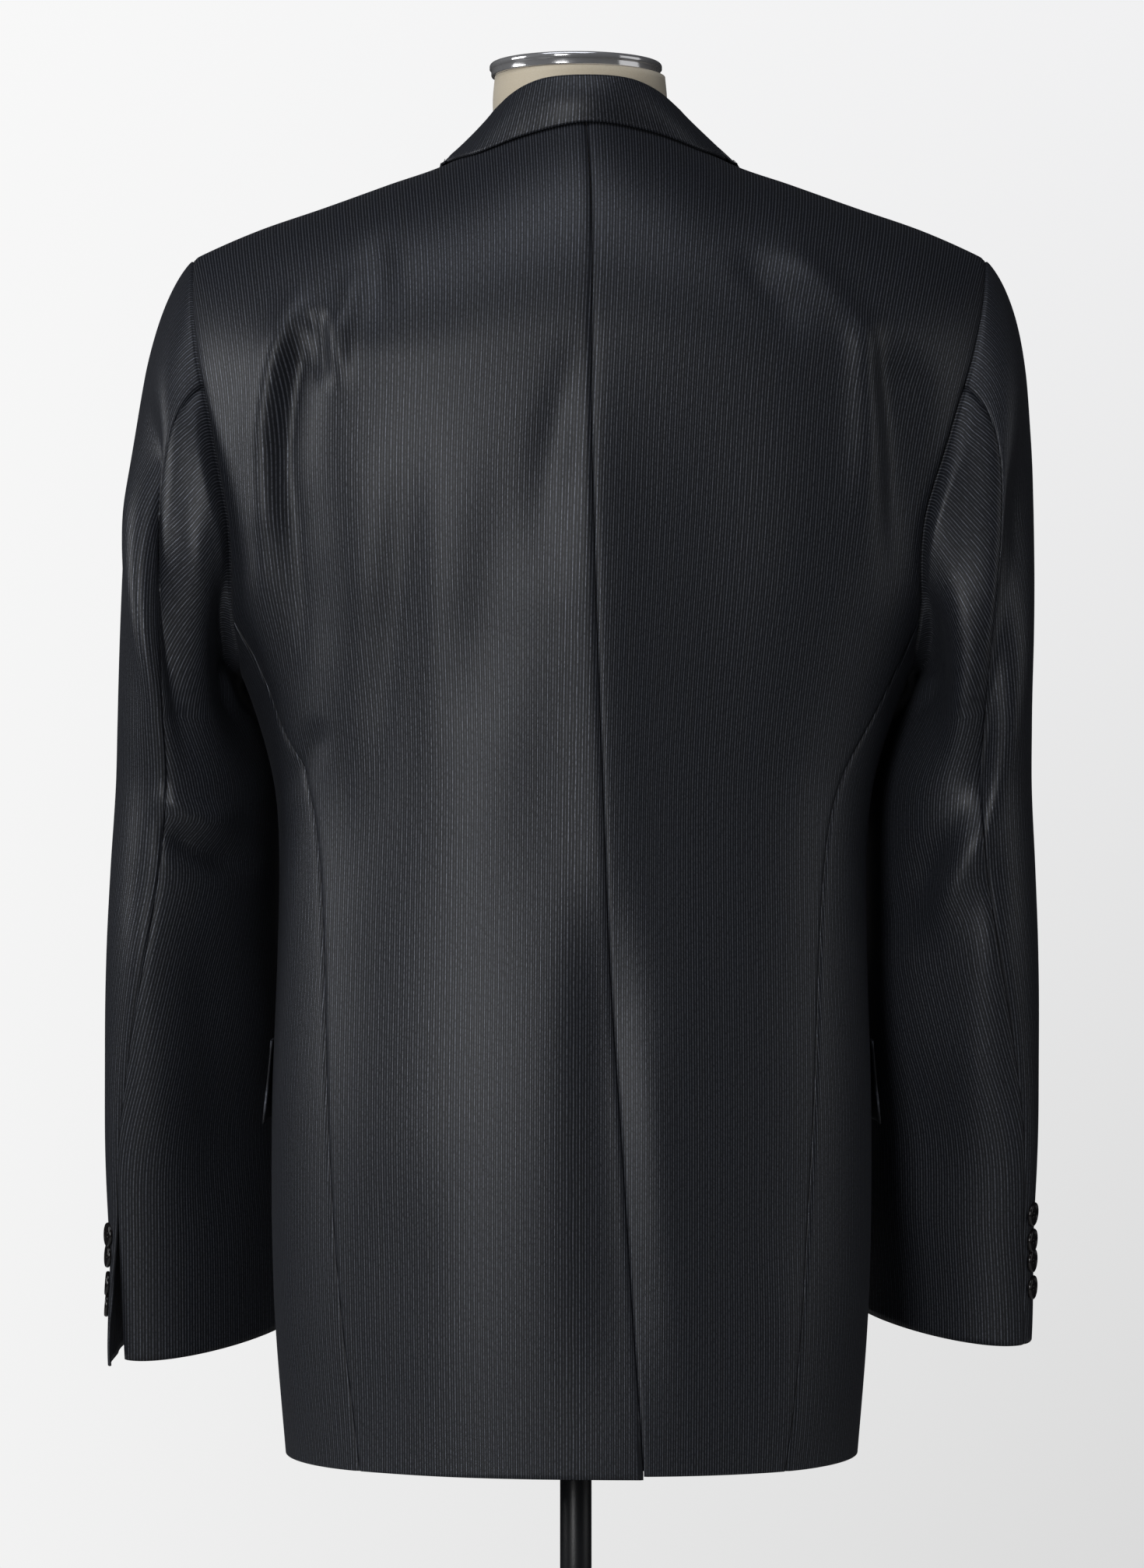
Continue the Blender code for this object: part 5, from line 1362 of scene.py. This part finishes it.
studio = {
    "floor": (1.22, -0.0005),
    "camera": (0.0023, 2.725, 0.7),
    "lens": 103.96,
    # place, target, size, power, colour
    "lamps": {
        "window_left": ((2.38, 0.32, 1.28), (0.0, 0.02, 0.85), (0.9, 1.15), 16.0, "ffffff"),
        "wall_right": ((-2.3, 0.5, 1.05), (0.0, 0.0, 0.85), (1.4, 1.7), 5.0, "ffffff"),
        "softbox_near": ((0.84, 2.36, 0.98), (0.0, 0.1, 0.8), (0.6, 0.8), 18.0, "ffffff"),
        "softbox_top": ((0.25, 0.9, 2.5), (0.0, 0.0, 0.95), (1.6, 1.0), 9.0, "f4f7ff"),
    },
}


def plainFloor():
    radius, height = studio["floor"]
    mesh = bmesh.new()
    bmesh.ops.create_circle(mesh, cap_ends=True, segments=96, radius=radius)
    material, _, _ = newMaterial("matt_floor", {"Base Color": linear("dededc"), "Roughness": 0.9})
    floor = addPiece("floor", mesh, material)
    floor.location = (0.0, 0.0, height)


def softLamp(name, place, target, size, power, colour):
    lamp = bpy.data.lights.new(name, "AREA")
    lamp.shape = "RECTANGLE"
    lamp.size, lamp.size_y = size
    lamp.energy = power
    lamp.color = linear(colour)[:3]
    piece = bpy.data.objects.new(name, lamp)
    piece.location = place
    piece.rotation_euler = (Vector(target) - Vector(place)).to_track_quat("-Z", "Y").to_euler()
    bpy.context.scene.collection.objects.link(piece)


def paleSurround():
    # pale studio walls: bright behind the coat, dimmer behind the camera
    world = bpy.data.worlds.new("studio_walls")
    bpy.context.scene.world = world
    world.use_nodes = True
    tree = world.node_tree
    way = addNode(tree, "ShaderNodeTexCoord").outputs["Generated"]
    x, y, z = addNode(tree, "ShaderNodeSeparateXYZ", {}, {0: way}).outputs
    # the picture's own width and height, as seen from the camera
    aside, height = mapRange(tree, x, -0.126, 0.126), mapRange(tree, z, -0.173, 0.173)
    shaded, lit = mixColours(tree, "dadada", "f1f1f2", height), mixColours(tree, "f2f2f2", "f8f8f8", height)
    wall = mixColours(tree, shaded, lit, aside)
    # walls off the set are dark cloth, so they put little light on the coat
    room = mixColours(tree, "1e1e20", "1a1a1c", mapRange(tree, y, -0.85, -0.35, kind="SMOOTHSTEP"))
    seen = addNode(tree, "ShaderNodeLightPath").outputs["Is Camera Ray"]
    backdrop = tree.nodes["Background"]
    tree.links.new(mixColours(tree, room, wall, seen), backdrop.inputs["Color"])
    backdrop.inputs["Strength"].default_value = 1.0


def photoCamera():
    lens = bpy.data.cameras.new("camera")
    lens.sensor_width = 36.0
    lens.lens = studio["lens"]
    lens.clip_start = 0.05
    camera = bpy.data.objects.new("camera", lens)
    camera.location = studio["camera"]
    camera.rotation_euler = (math.radians(90.0), 0.0, math.radians(180.0))
    bpy.context.scene.collection.objects.link(camera)
    bpy.context.scene.camera = camera


plainFloor()
paleSurround()
for name, settings in studio["lamps"].items():
    softLamp(name, *settings)
photoCamera()
bpy.context.scene.view_settings.view_transform = "Standard"
print("studio ready")
